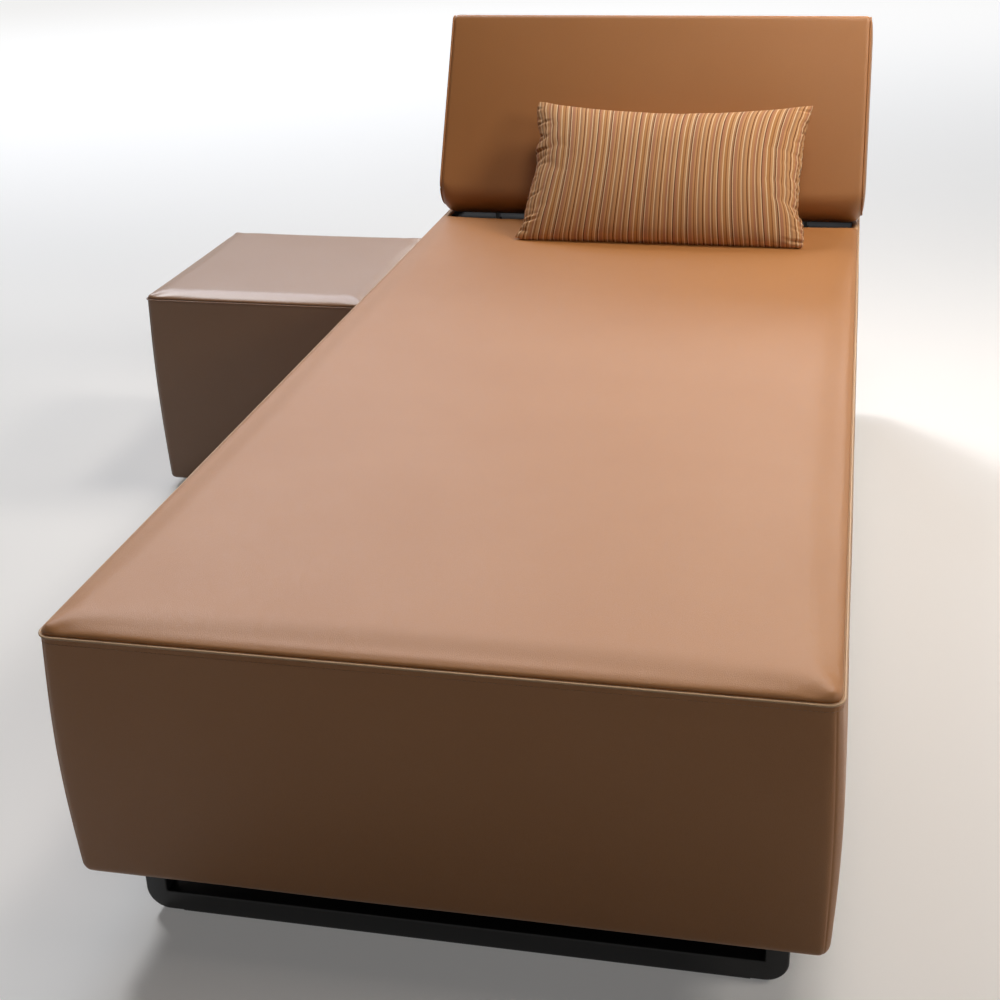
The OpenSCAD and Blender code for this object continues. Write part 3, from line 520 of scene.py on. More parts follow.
# A crowned panel on its block of foam, closed underneath
def crownedPad(name, spec, low, high, y0, y1, x0, x1, bottom, paint):
    # It stands up steeply from its seam for the first few millimetres, then rises gently over the roll
    rise, hem, hemShare, power = high - low, 9 * mm, 0.93, 3
    near, far, roll, step, groove = (spec[key] for key in ("near", "far", "roll", "step", "groove"))
    xs, ys = graded(x0, x1, roll, step), graded(y0, y1, roll, step)
    points, ins = [], []
    for y in ys:
        for x in xs:
            r = near if y - y0 < y1 - y else far
            sx = 1 if x > (x0 + x1) / 2 else -1
            sy = 1 if y > (y0 + y1) / 2 else -1
            cx = (x1 - r) if sx > 0 else (x0 + r)
            cy = (y1 - r) if sy > 0 else (y0 + r)
            a, b = sx * (x - cx) / r, sy * (y - cy) / r
            if a > 0 and b > 0:
                m = max(a, b)
                size = math.hypot(a, b)
                d = r * (1 - m)
                px, py = cx + sx * r * a * m / size, cy + sy * r * b * m / size
            else:
                d = min(x - x0, x1 - x, y - y0, y1 - y)
                px, py = x, y
            hemFall = 1 - min(1.0, max(0.0, d) / hem)
            sideFall = 1 - min(1.0, min(px - x0, x1 - px) / roll)
            endFall = 1 - min(1.0, min(py - y0, y1 - py) / roll)
            fall = min(1.0, (sideFall ** power + endFall ** power) ** (1 / power))
            share = hemShare * math.sqrt(1 - hemFall ** 2) + (1 - hemShare) * (1 - fall ** 2)
            points.append((px, py, low + rise * share))
            ins.append(d)
    nx, ny = len(xs), len(ys)
    faces = [(j * nx + i, j * nx + i + 1, (j + 1) * nx + i + 1, (j + 1) * nx + i)
             for j in range(ny - 1) for i in range(nx - 1)]
    border = ([i for i in range(nx)] + [j * nx + nx - 1 for j in range(1, ny)]
              + [(ny - 1) * nx + i for i in range(nx - 2, -1, -1)] + [j * nx for j in range(ny - 2, 0, -1)])
    rim = np.array([points[k][:2] for k in border])
    middle = np.array(((x0 + x1) / 2, (y0 + y1) / 2))
    halfSize = np.array(((x1 - x0) / 2, (y1 - y0) / 2))
    inner = middle + (rim - middle) * (1 - groove / halfSize)
    rings = [border]
    for ring, z in ((inner, low), (inner, bottom)):
        base = len(points)
        points += [(p[0], p[1], z) for p in ring]
        ins += [0.0] * len(ring)
        rings.append(list(range(base, base + len(ring))))
    n = len(border)
    for upper, lower in zip(rings, rings[1:]):
        faces += [(upper[i], lower[i], lower[(i + 1) % n], upper[(i + 1) % n]) for i in range(n)]
    piece = meshPiece(name, points, faces, paint)
    return piece, np.array(ins), nx * ny


def mended(piece, merge=0.0, fill=True):
    # Doubled points joined, open rims closed by a flat face, and every face turned outwards
    shape = bmesh.new()
    shape.from_mesh(piece.data)
    if merge:
        bmesh.ops.remove_doubles(shape, verts=shape.verts, dist=merge)
    if fill:
        bmesh.ops.holes_fill(shape, edges=[edge for edge in shape.edges if edge.is_boundary])
    bmesh.ops.recalc_face_normals(shape, faces=shape.faces)
    shape.to_mesh(piece.data)
    shape.free()
    return piece


print("shared making ready")

# The body's pieces are fitted to the frame's soft solids
seatLow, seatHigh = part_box("seat_cover")
wallLow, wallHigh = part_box("side_cover")
pipeLow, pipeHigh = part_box("seat_piping")
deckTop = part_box("deck_board")[1].z
seat = dict(
    near=14 * mm, far=4.67 * mm, roll=64 * mm, groove=12 * mm, step=13 * mm,
    dome=1.6 * mm, domeReach=200 * mm,       # how far the foam stands up in the middle of the panel
    pucker=0.1 * mm, puckerReach=16 * mm, puckerSize=16 * mm, puckerSeed=1.7, waveRise=0,
    tuck=0.6 * mm, cap=3 * mm, bend=6, frames=16,
)


def softLid(name, spec, low, high, bottom, paint):
    # A crowned pad with the broad swell of its foam, and small puckers where it is drawn into the seam
    pad, ins, top = crownedPad(name, spec, low.z - spec["tuck"], high.z - spec["dome"], low.y, high.y,
                               low.x, high.x, bottom, paint)
    points = spots(pad)
    onTop = np.arange(len(points)) < top
    lift = spec["dome"] * np.sin(np.clip(ins / spec["domeReach"], 0, 1) * math.pi / 2)
    fade = np.clip(1 - ins / spec["puckerReach"], 0, 1) * np.clip(ins / (2 * mm), 0, 1)
    for i in np.nonzero(onTop)[0]:
        x, y, z = points[i]
        wave = ripple((x, y, z * spec["waveRise"]), spec["puckerSize"], spec["puckerSeed"])
        points[i, 2] = z + lift[i] + wave * fade[i] * spec["pucker"]
    setSpots(pad, points)
    held = np.where(onTop & (ins > 1.0 * mm), 0.0, 1.0)
    relaxed(pad, held, pressure=3.0, cap=spec["cap"], stiff=60, bend=spec["bend"], frames=spec["frames"])
    setWorn(pad, np.where(onTop, 0.4 * np.exp(-((ins - 3 * mm) / (4 * mm)) ** 2), 0))
    return mended(refined(pad))


def makeSeat():
    pad = softLid("seatPad", seat, seatLow, seatHigh, deckTop, "cover")
    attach(pad, "lounger")
    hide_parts("seat_cover", "seat_foam")
    print("seat pad", len(pad.data.polygons))


makeSeat()


# Boxing goes round the body and the stool
sewing = dict(
    columns=(-2, -1, -0.45, 0, 0.45, 1, 2), clear=2.2,       # beside an upright seam, in groove widths
    fold=1.5 * mm, turnSteps=6, held=6 * mm,
    gather=14 * mm, gatherDrop=5 * mm, gatherBand=12 * mm, gatherSize=14 * mm, swellSize=190 * mm,
    wornSeam=0.6, wornRim=0.8, wornFoot=0.5, wornReach=5 * mm,
)


def boxing(name, spec):
    # Rows run from the turned-in rim over the seam, down the wall, under the box to the hem, and back inside
    low, high = spec["low"], spec["high"]
    roll, bulge, shell = spec["roll"], spec["bulge"], spec["shell"]
    spans, total = roundedEdge(*spec["rect"], spec["corner"], spec["corner"])
    runs = list(edgeRuns(spans, spec["column"], spec["arcColumn"]))
    seams = [spans[k][0] + spans[k][1] * at for k, at in spec["seams"]]
    for s in seams:
        runs = [r for r in runs if min(abs(r - s), total - abs(r - s)) > spec["groove"] * sewing["clear"]]
        runs += [(s + d * spec["groove"]) % total for d in sewing["columns"]]
    runs = np.array(sorted(runs))
    base, outs = alongEdge(spans, runs)
    fold, turns = sewing["fold"], sewing["turnSteps"]
    rows = [(-spec["rim"], high, 0), (-spec["rim"] / 2, high, 0), (-fold, high, 0),
            (-0.4 * fold, high - 0.25 * fold, 0), (0, high - fold, 0)]
    wallTop, wallFoot = high - spec["stitchDrop"], low + roll
    n = max(4, round((wallTop - wallFoot) / spec["row"]))
    for i in range(n + 1):
        z = wallTop - (wallTop - wallFoot) * i / n
        rows.append((bulge * math.sin(math.pi * (high - z) / (high - wallFoot)), z, 1))
    for i in range(1, turns + 1):
        a = math.radians(90 * i / turns)
        rows.append((-roll + roll * math.cos(a), wallFoot - roll * math.sin(a), 0.5))
    rows += [(-roll - spec["hem"] / 2, low, 0), (-roll - spec["hem"], low, 0),
             (-roll - spec["hem"], low + shell, 0), (-roll, low + shell, 0), (-shell, wallFoot, 0),
             (bulge * 0.9 - shell, (high + wallFoot) / 2, 0), (-shell, high - shell, 0),
             (-spec["rim"], high - shell, 0)]
    points, walls, heights, columns = [], [], [], []
    for d, z, wall in rows:
        for k in range(len(runs)):
            tight = max(d, -spec["corner"] * 0.999)
            x, y = base[k] + outs[k] * tight
            if d < tight:      # past the middle of a corner's curve, the hem is mitred
                x, y = np.array((x, y)) + (d - tight) * np.sign(outs[k]) * (np.abs(outs[k]) > 0.02)
            points.append((x, y, z))
            walls.append(wall)
            heights.append(high - z)
            columns.append(k)
    m, c = len(rows), len(runs)
    faces = [(i * c + k, ((i + 1) % m) * c + k, ((i + 1) % m) * c + (k + 1) % c, i * c + (k + 1) % c)
             for i in range(m) for k in range(c)]
    piece = meshPiece(name, points, faces, spec["paint"])
    points, walls = np.array(points), np.array(walls)
    heights, columns = np.array(heights), np.array(columns)
    toSeam = np.min([np.minimum(np.abs(runs - s), total - np.abs(runs - s)) for s in seams], axis=0)[columns]
    held = np.where(walls > 0.9, np.clip(1 - heights / sewing["held"], 0, 1), 1.0)
    held = np.maximum(held, np.where(toSeam < spec["groove"] * 1.2, 1.0, 0.0))
    relaxed(piece, held, pressure=spec["pressure"], cap=spec["cap"], stiff=60, bend=8, frames=12)
    points = spots(piece)
    out3 = np.concatenate([outs[columns], np.zeros((len(points), 1))], axis=1)
    # Sewn seams pull in, and the cloth beside them and under the welt puckers a little
    sunk = spec["grooveDepth"] * np.exp(-(toSeam / (0.7 * spec["groove"])) ** 2)
    stand = 0.35 * spec["grooveDepth"] * np.exp(-((toSeam - 1.6 * spec["groove"]) / spec["groove"]) ** 2)
    near = np.exp(-toSeam / sewing["gather"])
    near += np.exp(-np.abs(heights - sewing["gatherDrop"]) / sewing["gatherBand"])
    shift = np.where(walls > 0, stand - sunk, 0)
    for i in np.nonzero(walls > 0)[0]:
        shift[i] += spec["pucker"] * near[i] * ripple(points[i], sewing["gatherSize"], 4.1)
        shift[i] += spec["soft"] * ripple(points[i], sewing["swellSize"], 9.3)
    setSpots(piece, points + out3 * shift[:, None])
    worn = sewing["wornSeam"] * np.exp(-(toSeam / sewing["wornReach"]) ** 2)
    worn += sewing["wornRim"] * np.exp(-(heights / sewing["wornReach"]) ** 2)
    worn += sewing["wornFoot"] * np.where(walls == 0.5, 1, 0)
    setWorn(piece, np.clip(worn, 0, 1) * (walls > 0))
    path = spots(piece)[5 * c:6 * c] + np.concatenate([outs, np.zeros((c, 1))], axis=1) * spec["stitchStand"]
    refined(piece)
    return piece, path


body = dict(
    rect=(seatLow.x, seatHigh.x, seatLow.y, pipeHigh.y - 4 * mm), corner=14 * mm,
    low=wallLow.z, high=wallHigh.z, roll=15 * mm, bulge=5.5 * mm, shell=1.5 * mm, hem=18 * mm, rim=11 * mm,
    column=15 * mm, arcColumn=3.5 * mm, row=13 * mm, groove=1.4 * mm, grooveDepth=0.6 * mm,
    seams=[(0, 0.4), (6, 0.6), (2, 0.6), (4, 0.4)],
    pucker=0.12 * mm, soft=0.8 * mm, pressure=1.5, cap=2.5 * mm, stitchDrop=7 * mm, stitchStand=0.15 * mm,
    paint="cover",
)


def makeBody():
    cover, path = boxing("bodyCover", body)
    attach(cover, "lounger")
    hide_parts("side_cover", "side_padding")
    print("body cover", len(cover.data.polygons))
    return path


stitchPath = makeBody()


# Welts, tube legs, stitches and staples follow a path
def treeFor(name, inputs):
    tree = bpy.data.node_groups.new(name, "GeometryNodeTree")
    tree.interface.new_socket("Geometry", in_out="OUTPUT", socket_type="NodeSocketGeometry")
    tree.interface.new_socket("Geometry", in_out="INPUT", socket_type="NodeSocketGeometry")
    for label, kind, value in inputs:
        socket = tree.interface.new_socket(label, in_out="INPUT", socket_type="NodeSocket" + kind)
        if value is not None:
            socket.default_value = value
    return tree, tree.nodes.new("NodeGroupInput"), tree.nodes.new("NodeGroupOutput")


def geo(tree, kind, settings=None, **sockets):
    node = tree.nodes.new("GeometryNode" + kind)
    for key, value in (settings or {}).items():
        setattr(node, key, value)
    for key, value in sockets.items():
        node.inputs[key.replace("_", " ")].default_value = value
    return node


def grown(name, points, tree, values, closed=True):
    # A path drawn as edges, run through a node tree, and kept as a plain mesh
    n = len(points)
    mesh = bpy.data.meshes.new(name)
    edges = [(i, (i + 1) % n) for i in range(n if closed else n - 1)]
    mesh.from_pydata([tuple(map(float, p)) for p in points], edges, [])
    piece = bpy.data.objects.new(name, mesh)
    scene.collection.objects.link(piece)
    grower = piece.modifiers.new("grower", "NODES")
    grower.node_group = tree
    for item in tree.interface.items_tree:
        if item.item_type == "SOCKET" and item.in_out == "INPUT" and item.name in values:
            grower[item.identifier] = values[item.name]
    applied(piece)
    piece.data.shade_smooth()
    return piece


def weltTree():
    # A round cord of cloth along a path, with its sewn edge as a flat strip inside it
    tree, given, made = treeFor("welt", [("Radius", "Float", 2 * mm), ("Strip", "Float", 8 * mm),
                                         ("Spacing", "Float", 4 * mm), ("Thickness", "Float", 1 * mm),
                                         ("Material", "Material", None)])
    path = geo(tree, "MeshToCurve")
    even = geo(tree, "ResampleCurve", dict(mode="LENGTH"))
    upright = geo(tree, "SetCurveNormal", dict(mode="Z_UP"))
    bead = geo(tree, "CurvePrimitiveCircle", Resolution=14)
    strip = geo(tree, "CurvePrimitiveQuadrilateral")
    aside = geo(tree, "Transform")
    offset = put(tree, "CombineXYZ")
    both = geo(tree, "JoinGeometry")
    swept = geo(tree, "CurveToMesh", Fill_Caps=True)
    cloth = geo(tree, "SetMaterial")
    real = geo(tree, "RealizeInstances")
    wire(tree, (given.outputs["Geometry"], path.inputs[0]), (path.outputs[0], even.inputs[0]),
         (given.outputs["Spacing"], even.inputs["Length"]), (even.outputs[0], upright.inputs[0]),
         (given.outputs["Radius"], bead.inputs["Radius"]), (given.outputs["Strip"], strip.inputs["Width"]),
         (given.outputs["Thickness"], strip.inputs["Height"]), (strip.outputs[0], aside.inputs[0]),
         (sums(tree, "MULTIPLY", given.outputs["Strip"], -0.5), offset.inputs[0]),
         (offset.outputs[0], aside.inputs["Translation"]),
         (bead.outputs[0], both.inputs[0]), (aside.outputs[0], both.inputs[0]),
         (upright.outputs[0], swept.inputs[0]), (both.outputs[0], swept.inputs["Profile Curve"]),
         (swept.outputs[0], real.inputs[0]), (real.outputs[0], cloth.inputs[0]),
         (given.outputs["Material"], cloth.inputs["Material"]), (cloth.outputs[0], made.inputs[0]))
    return tree


def stitchTree():
    # Short threads laid end to end along a path, each a little off its neighbour
    tree, given, made = treeFor("stitches", [("Pitch", "Float", 5 * mm), ("Length", "Float", 3.4 * mm),
                                             ("Thickness", "Float", 0.5 * mm), ("Seed", "Int", 3),
                                             ("Material", "Material", None)])
    path = geo(tree, "MeshToCurve")
    even = geo(tree, "ResampleCurve", dict(mode="LENGTH"))
    onPath = geo(tree, "InstanceOnPoints")
    tangent = geo(tree, "InputTangent")
    aim = tree.nodes.new("FunctionNodeAlignRotationToVector")
    aim.axis = "Z"
    thread = geo(tree, "MeshCylinder", Vertices=6, Side_Segments=3)
    jitter = tree.nodes.new("FunctionNodeRandomValue")
    jitter.data_type = "FLOAT"
    lows = [s for s in jitter.inputs if s.name == "Min" and s.type == "VALUE"][0]
    highs = [s for s in jitter.inputs if s.name == "Max" and s.type == "VALUE"][0]
    lows.default_value, highs.default_value = 0.82, 1.08
    real = geo(tree, "RealizeInstances")
    cloth = geo(tree, "SetMaterial")
    wire(tree, (given.outputs["Geometry"], path.inputs[0]), (path.outputs[0], even.inputs[0]),
         (given.outputs["Pitch"], even.inputs["Length"]), (even.outputs[0], onPath.inputs["Points"]),
         (given.outputs["Length"], thread.inputs["Depth"]), (thread.outputs[0], onPath.inputs["Instance"]),
         (sums(tree, "MULTIPLY", given.outputs["Thickness"], 0.5), thread.inputs["Radius"]),
         (tangent.outputs[0], aim.inputs["Vector"]), (aim.outputs[0], onPath.inputs["Rotation"]),
         (given.outputs["Seed"], jitter.inputs["Seed"]),
         ([s for s in jitter.outputs if s.type == "VALUE"][0], onPath.inputs["Scale"]),
         (onPath.outputs[0], real.inputs[0]), (real.outputs[0], cloth.inputs[0]),
         (given.outputs["Material"], cloth.inputs["Material"]), (cloth.outputs[0], made.inputs[0]))
    return tree


welts, stitches = weltTree(), stitchTree()
piping = dict(radius=1.35 * mm, strip=10 * mm, thickness=1.0 * mm, spacing=5 * mm)


def makePiping():
    spans, total = roundedEdge(*body["rect"], body["corner"], body["corner"])
    runs = edgeRuns(spans, 12 * mm, 3 * mm)
    base, outs = alongEdge(spans, runs)
    z = (pipeLow.z + pipeHigh.z) / 2
    line = [(*(p + o * piping["radius"]), z) for p, o in zip(base, outs)]
    cord = grown("seatPiping", line, welts, dict(
        Radius=piping["radius"], Strip=piping["strip"], Thickness=piping["thickness"],
        Spacing=piping["spacing"], Material=paints["piping"]))
    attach(cord, "lounger")
    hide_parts("seat_piping")
    row = grown("topStitches", stitchPath, stitches, dict(Material=paints["thread"]))
    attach(row, "lounger")
    print("piping", len(cord.data.polygons), "stitches", len(row.data.polygons))


makePiping()

# The backrest is one closed pad with a half-round foot, drawn in by a welt at each end
hinge = frame["joints"][0]["pos_m"]
backrest = dict(
    width=814 * mm, height=388 * mm, thick=90 * mm, lean=28.8,
    edge=12 * mm, corner=30 * mm, crown=5 * mm, crownReach=180 * mm, step=12 * mm,
    endBulge=2 * mm, weltRadius=1.7 * mm, weltTurn=40, weltSunk=0.35,
    pucker=0.12 * mm, puckerReach=20 * mm, puckerSize=15 * mm,
    soft=0.7 * mm, softSize=210 * mm, softReach=(100 * mm, 80 * mm),       # in from an end, up from the foot
    footSteps=22, turnSteps=5, topSteps=8,
    endTurn=(90, 76, 62, 50, 40, 30, 15, 0),                               # degrees round the end's edge
    endIn=(3 * mm, 7 * mm, 12 * mm, 18 * mm, 25 * mm), endClear=9 * mm,
    endPanel=(0.0, 0.16, 0.36, 0.58, 0.8, 0.93),                           # rings across an end, as shares
    hingeX=300 * mm, slotWide=30.6 * mm, slotHalf=9.5 * mm, slotRound=16 * mm, slotSteps=14,
    recline=50,
)


def onBack(x, out, up):
    lean = math.radians(backrest["lean"])
    return (x, hinge[1] + out * math.cos(lean) + up * math.sin(lean),
            hinge[2] - out * math.sin(lean) + up * math.cos(lean))


def footLift(d):
    r = backrest["corner"]
    return r - math.sqrt(r * r - (r - d) ** 2) if d < r else 0.0


def backSection(inset, lift, swell):
    # Anticlockwise seen with the head end on the right: foot, back, top, front
    spec = backrest
    r, e, top = spec["thick"] / 2 - inset, spec["edge"], spec["height"] - spec["thick"] / 2 - inset
    foot, rise = spec["footSteps"], round((spec["height"] - spec["thick"] / 2 - e) / spec["step"])
    line = [(r * math.cos(math.pi * (1 + i / foot)), lift + r * math.sin(math.pi * (1 + i / foot)))
            for i in range(foot + 1)]
    ups = [(k / rise, lift + (k / rise) * (top - e - lift)) for k in range(1, rise)]
    line += [(r + swell * math.sin(math.pi * k) / 4, q) for k, q in ups]
    turn, across = spec["turnSteps"], spec["topSteps"]
    line += [(r - e + e * math.cos(math.pi / 2 * i / turn), top - e + e * math.sin(math.pi / 2 * i / turn))
             for i in range(turn + 1)]
    line += [(r - e - (2 * (r - e)) * i / across, top) for i in range(1, across)]
    line += [(-r + e - e * math.sin(math.pi / 2 * i / turn), top - e + e * math.cos(math.pi / 2 * i / turn))
             for i in range(turn + 1)]
    line += [(-r - swell * math.sin(math.pi * k), q) for k, q in reversed(ups)]
    return line


def makeBackrest():
    spec = backrest
    hw, e, r = spec["width"] / 2, spec["edge"], spec["thick"] / 2
    ends = [(e * (1 - math.sin(math.radians(a))), e * (1 - math.cos(math.radians(a))))
            for a in spec["endTurn"]]
    inward = [e + k for k in spec["endIn"]]
    start = inward[-1] + spec["endClear"]
    n = round((spec["width"] - 2 * start) / spec["step"])
    middle = [(start + (spec["width"] - 2 * start) * i / n, 0) for i in range(n + 1)]
    side = ends + [(d, 0) for d in inward]
    stations = [(-hw + d, i, d) for d, i in side]
    stations += [(-hw + d, i, min(d, spec["width"] - d)) for d, i in middle]
    stations += [(hw - d, i, d) for d, i in reversed(side)]
    points, depth, ups, outs = [], [], [], []

    def addRing(x, line, d):
        for p, q in line:
            points.append(onBack(x, p, q))
            depth.append(d)
            ups.append(q)
            outs.append(p)

    rings = []
    panel = spec["endPanel"]
    for s in (-1, 1):
        line = backSection(e, footLift(0) * (1 - e / r), 0)
        low, high = footLift(0) * (1 - e / r), spec["height"] - r - e - (r - e)
        shares = panel if s < 0 else list(reversed(panel))
        group = []
        for t in shares:
            shrunk = []
            for p, q in line:
                c = min(max(q, low), high)
                shrunk.append((p * t, c + (q - c) * t))
            group.append((s * (hw + spec["endBulge"] * (1 - t * t)), shrunk))
        rings.append(group)
    for x, line in rings[0]:
        addRing(x, line, 0)
    for x, inset, d in stations:
        swell = spec["crown"] * math.sin(min(1.0, d / spec["crownReach"]) * math.pi / 2)
        addRing(x, backSection(inset, footLift(d) * (1 - inset / r), swell), d)
    for x, line in rings[1]:
        addRing(x, line, 0)
    c = len(backSection(0, 0, 0))
    m = len(points) // c
    faces = [(i * c + k, i * c + (k + 1) % c, (i + 1) * c + (k + 1) % c, (i + 1) * c + k)
             for i in range(m - 1) for k in range(c)]
    pad = meshPiece("backrestPad", points, faces, "cover")
    depth, ups, outs = np.array(depth), np.array(ups), np.array(outs)
    ends = (np.arange(m) < len(panel) + 5) | (np.arange(m) >= m - len(panel) - 5)
    held = np.repeat(ends, c).astype(float)
    held = np.maximum(held, np.clip(1 - (ups - 6 * mm) / (30 * mm), 0, 1))
    relaxed(pad, held, pressure=2.5, cap=3 * mm, stiff=60, bend=6, frames=14)
    points = spots(pad)
    lean = math.radians(spec["lean"])
    face = np.array((0, math.cos(lean), -math.sin(lean)))
    fade = np.exp(-np.abs(depth - 4 * mm) / spec["puckerReach"] * 2)
    fade *= np.clip((ups - 20 * mm) / (40 * mm), 0, 1)
    fromEnd, fromFoot = spec["softReach"]
    for i in range(len(points)):
        if ups[i] > 0 and depth[i] > 0:
            small = ripple(points[i], spec["puckerSize"], 2.2) * fade[i]
            broad = ripple(points[i], spec["softSize"], 6.1)
            broad *= min(1, depth[i] / fromEnd) * min(1, ups[i] / fromFoot)
            lift = spec["pucker"] * small + spec["soft"] * broad
            points[i] += face * lift * np.sign(outs[i])
    setSpots(pad, points)
    top = spec["height"] - r
    worn = 0.7 * np.exp(-((depth - 5 * mm) / (6 * mm)) ** 2) + 0.5 * np.exp(-((ups - top) / (7 * mm)) ** 2)
    setWorn(pad, np.clip(worn, 0, 1))
    refined(mended(pad, merge=0.05 * mm))
    pad.data.shade_smooth()
    cutSlots(pad)
    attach(pad, "backrest")
    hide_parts("back_cover", "back_foam")
    for s in (-1, 1):
        a = math.radians(spec["weltTurn"])
        d, inset = e * (1 - math.sin(a)), e * (1 - math.cos(a))
        proud = spec["weltRadius"] * spec["weltSunk"]
        line = backSection(inset - proud, footLift(d) * (1 - inset / r), 0)
        path = [onBack(s * (hw - d + proud), p, q) for p, q in line]
        cord = grown("backrestWelt" + ("Left" if s < 0 else "Right"), path, welts, dict(
            Radius=spec["weltRadius"], Strip=spec["weltRadius"], Thickness=0.8 * mm, Spacing=4 * mm,
            Material=paints["cover"]))
        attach(cord, "backrest")
        if s > 0:
            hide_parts("back_welts")
    print("backrest", len(pad.data.polygons))


def cutSlots(pad):
    # Openings for the hinges' ears, from straight under the hinge round to the back
    spec = backrest
    w, bore = spec["slotHalf"], spec["slotRound"]
    down, back = math.radians(spec["lean"]), math.radians(spec["lean"] + spec["recline"])
    reach, start = spec["thick"], math.sqrt(bore ** 2 - w ** 2)
    first = np.array((-w * math.cos(down), -w * math.sin(down)))
    second = np.array((w * math.cos(back), w * math.sin(back)))
    d1, d2 = np.array((math.sin(down), -math.cos(down))), np.array((math.sin(back), -math.cos(back)))
    line = [first + start * d1, first + reach * d1, np.array((2 * reach, -2 * reach)), second + reach * d2,
            second + start * d2]
    a0 = math.atan2(*(second + start * d2)[::-1])
    a1 = math.atan2(*(first + start * d1)[::-1]) + 2 * math.pi
    steps = spec["slotSteps"]
    bends = [a0 + (a1 - a0) * i / steps for i in range(1, steps)]
    line += [bore * np.array((math.cos(a), math.sin(a))) for a in bends]
    points, faces = [], []
    for s in (-1, 1):
        for x in (-spec["slotWide"] / 2, spec["slotWide"] / 2):
            points += [onBack(s * spec["hingeX"] + x, p, q) for p, q in line]
    n = len(line)
    for side in (0, 2 * n):
        faces.append(tuple(side + i for i in range(n)))
        faces.append(tuple(side + n + i for i in reversed(range(n))))
        faces += [(side + i, side + n + i, side + n + (i + 1) % n, side + (i + 1) % n) for i in range(n)]
    cutter = meshPiece("slotCutter", points, faces, "blackCloth", smooth=False)
    mended(cutter, fill=False)
    cut = pad.modifiers.new("slots", "BOOLEAN")
    cut.operation, cut.solver, cut.object = "DIFFERENCE", "EXACT", cutter
    cut.material_mode = "TRANSFER"
    applied(pad)
    bpy.data.objects.remove(cutter)


makeBackrest()

# The pillow is two flat cloths sewn round, filled with air, then leaned in its place
pillow = dict(
    width=526 * mm, height=306 * mm, front=50 * mm, back=90 * mm, lean=47.5, seamLift=4 * mm, across=48 * mm,
    cutWidth=556 * mm, cutHeight=350 * mm, step=6 * mm,
    bowSide=0.05, bowEnd=0.02,                        # the cut is fuller in the middle of each edge
    loft=20 * mm, wave=1.2 * mm, waveSize=40 * mm,    # the cloths' gap and waves before the air goes in
    plump=(2.8, 2.3, 0.56),                           # powers of the stuffed form: across, up, depth
    gather=0.22, gatherReach=8 * mm, pressure=5.5, frames=36,
    hollowSide=17 * mm, hollowTop=28 * mm, hollowFoot=2 * mm,
    contact=0.5 * mm, plain=0.86, plainEnds=0.34,
    creases=17, creaseSeed=11, creaseLong=(14 * mm, 56 * mm), creaseDeep=(1.6 * mm, 4.4 * mm),
    creaseWide=(2.4 * mm, 4.2 * mm), creaseCrowd=1.25, creaseSlope=0.35, creaseFan=0.3, creaseReach=0.94,
    creaseWave=(1.5 * mm, 9 * mm),
)


def creased(piece, points, spec):
    # Short folds run in from the seams at both ends, and crowd towards the lower corners
    count = len(piece.data.loops)
    corner, uv = np.empty(count, np.int32), np.empty(2 * count, np.float32)
    piece.data.loops.foreach_get("vertex_index", corner)
    piece.data.uv_layers["cut"].data.foreach_get("uv", uv)
    cut = np.zeros((len(points), 2))
    cut[corner] = uv.reshape(-1, 2)
    normals = np.empty(3 * len(points), np.float32)
    piece.data.vertex_normals.foreach_get("vector", normals)
    normals = normals.reshape(-1, 3)
    chance = random.Random(spec["creaseSeed"])
    half, tall = spec["cutWidth"] / 2, spec["cutHeight"] / 2
    waveHigh, waveLong = spec["creaseWave"]
    shift = np.zeros(len(points))
    for end in (-1, 1):
        for face in (-1, 1):
            for k in range(spec["creases"]):
                share = (k + 0.2 + 0.6 * chance.random()) / spec["creases"]
                along = -1 + 2 * share ** spec["creaseCrowd"]
                length, deep = (chance.uniform(*spec[key]) for key in ("creaseLong", "creaseDeep"))
                wide = chance.uniform(*spec["creaseWide"])
                slope = chance.uniform(-spec["creaseSlope"], spec["creaseSlope"]) - spec["creaseFan"] * along
                inward = half * (1 + spec["bowSide"] * (1 - (cut[:, 1] / tall) ** 2)) - end * cut[:, 0]
                wave = waveHigh * np.sin(inward / waveLong + 6 * chance.random())
                off = cut[:, 1] - along * tall * spec["creaseReach"] - slope * inward - wave
                fade = np.clip(1 - inward / length, 0, 1) ** 1.3 * np.clip(inward / (4 * mm), 0.3, 1)
                line = np.exp(-(off / wide) ** 2) - 0.45 * np.exp(-((np.abs(off) - 1.9 * wide) / wide) ** 2)
                shift -= deep * fade * line * (np.sign(points[:, 2]) == face)
    return points + normals * shift[:, None]


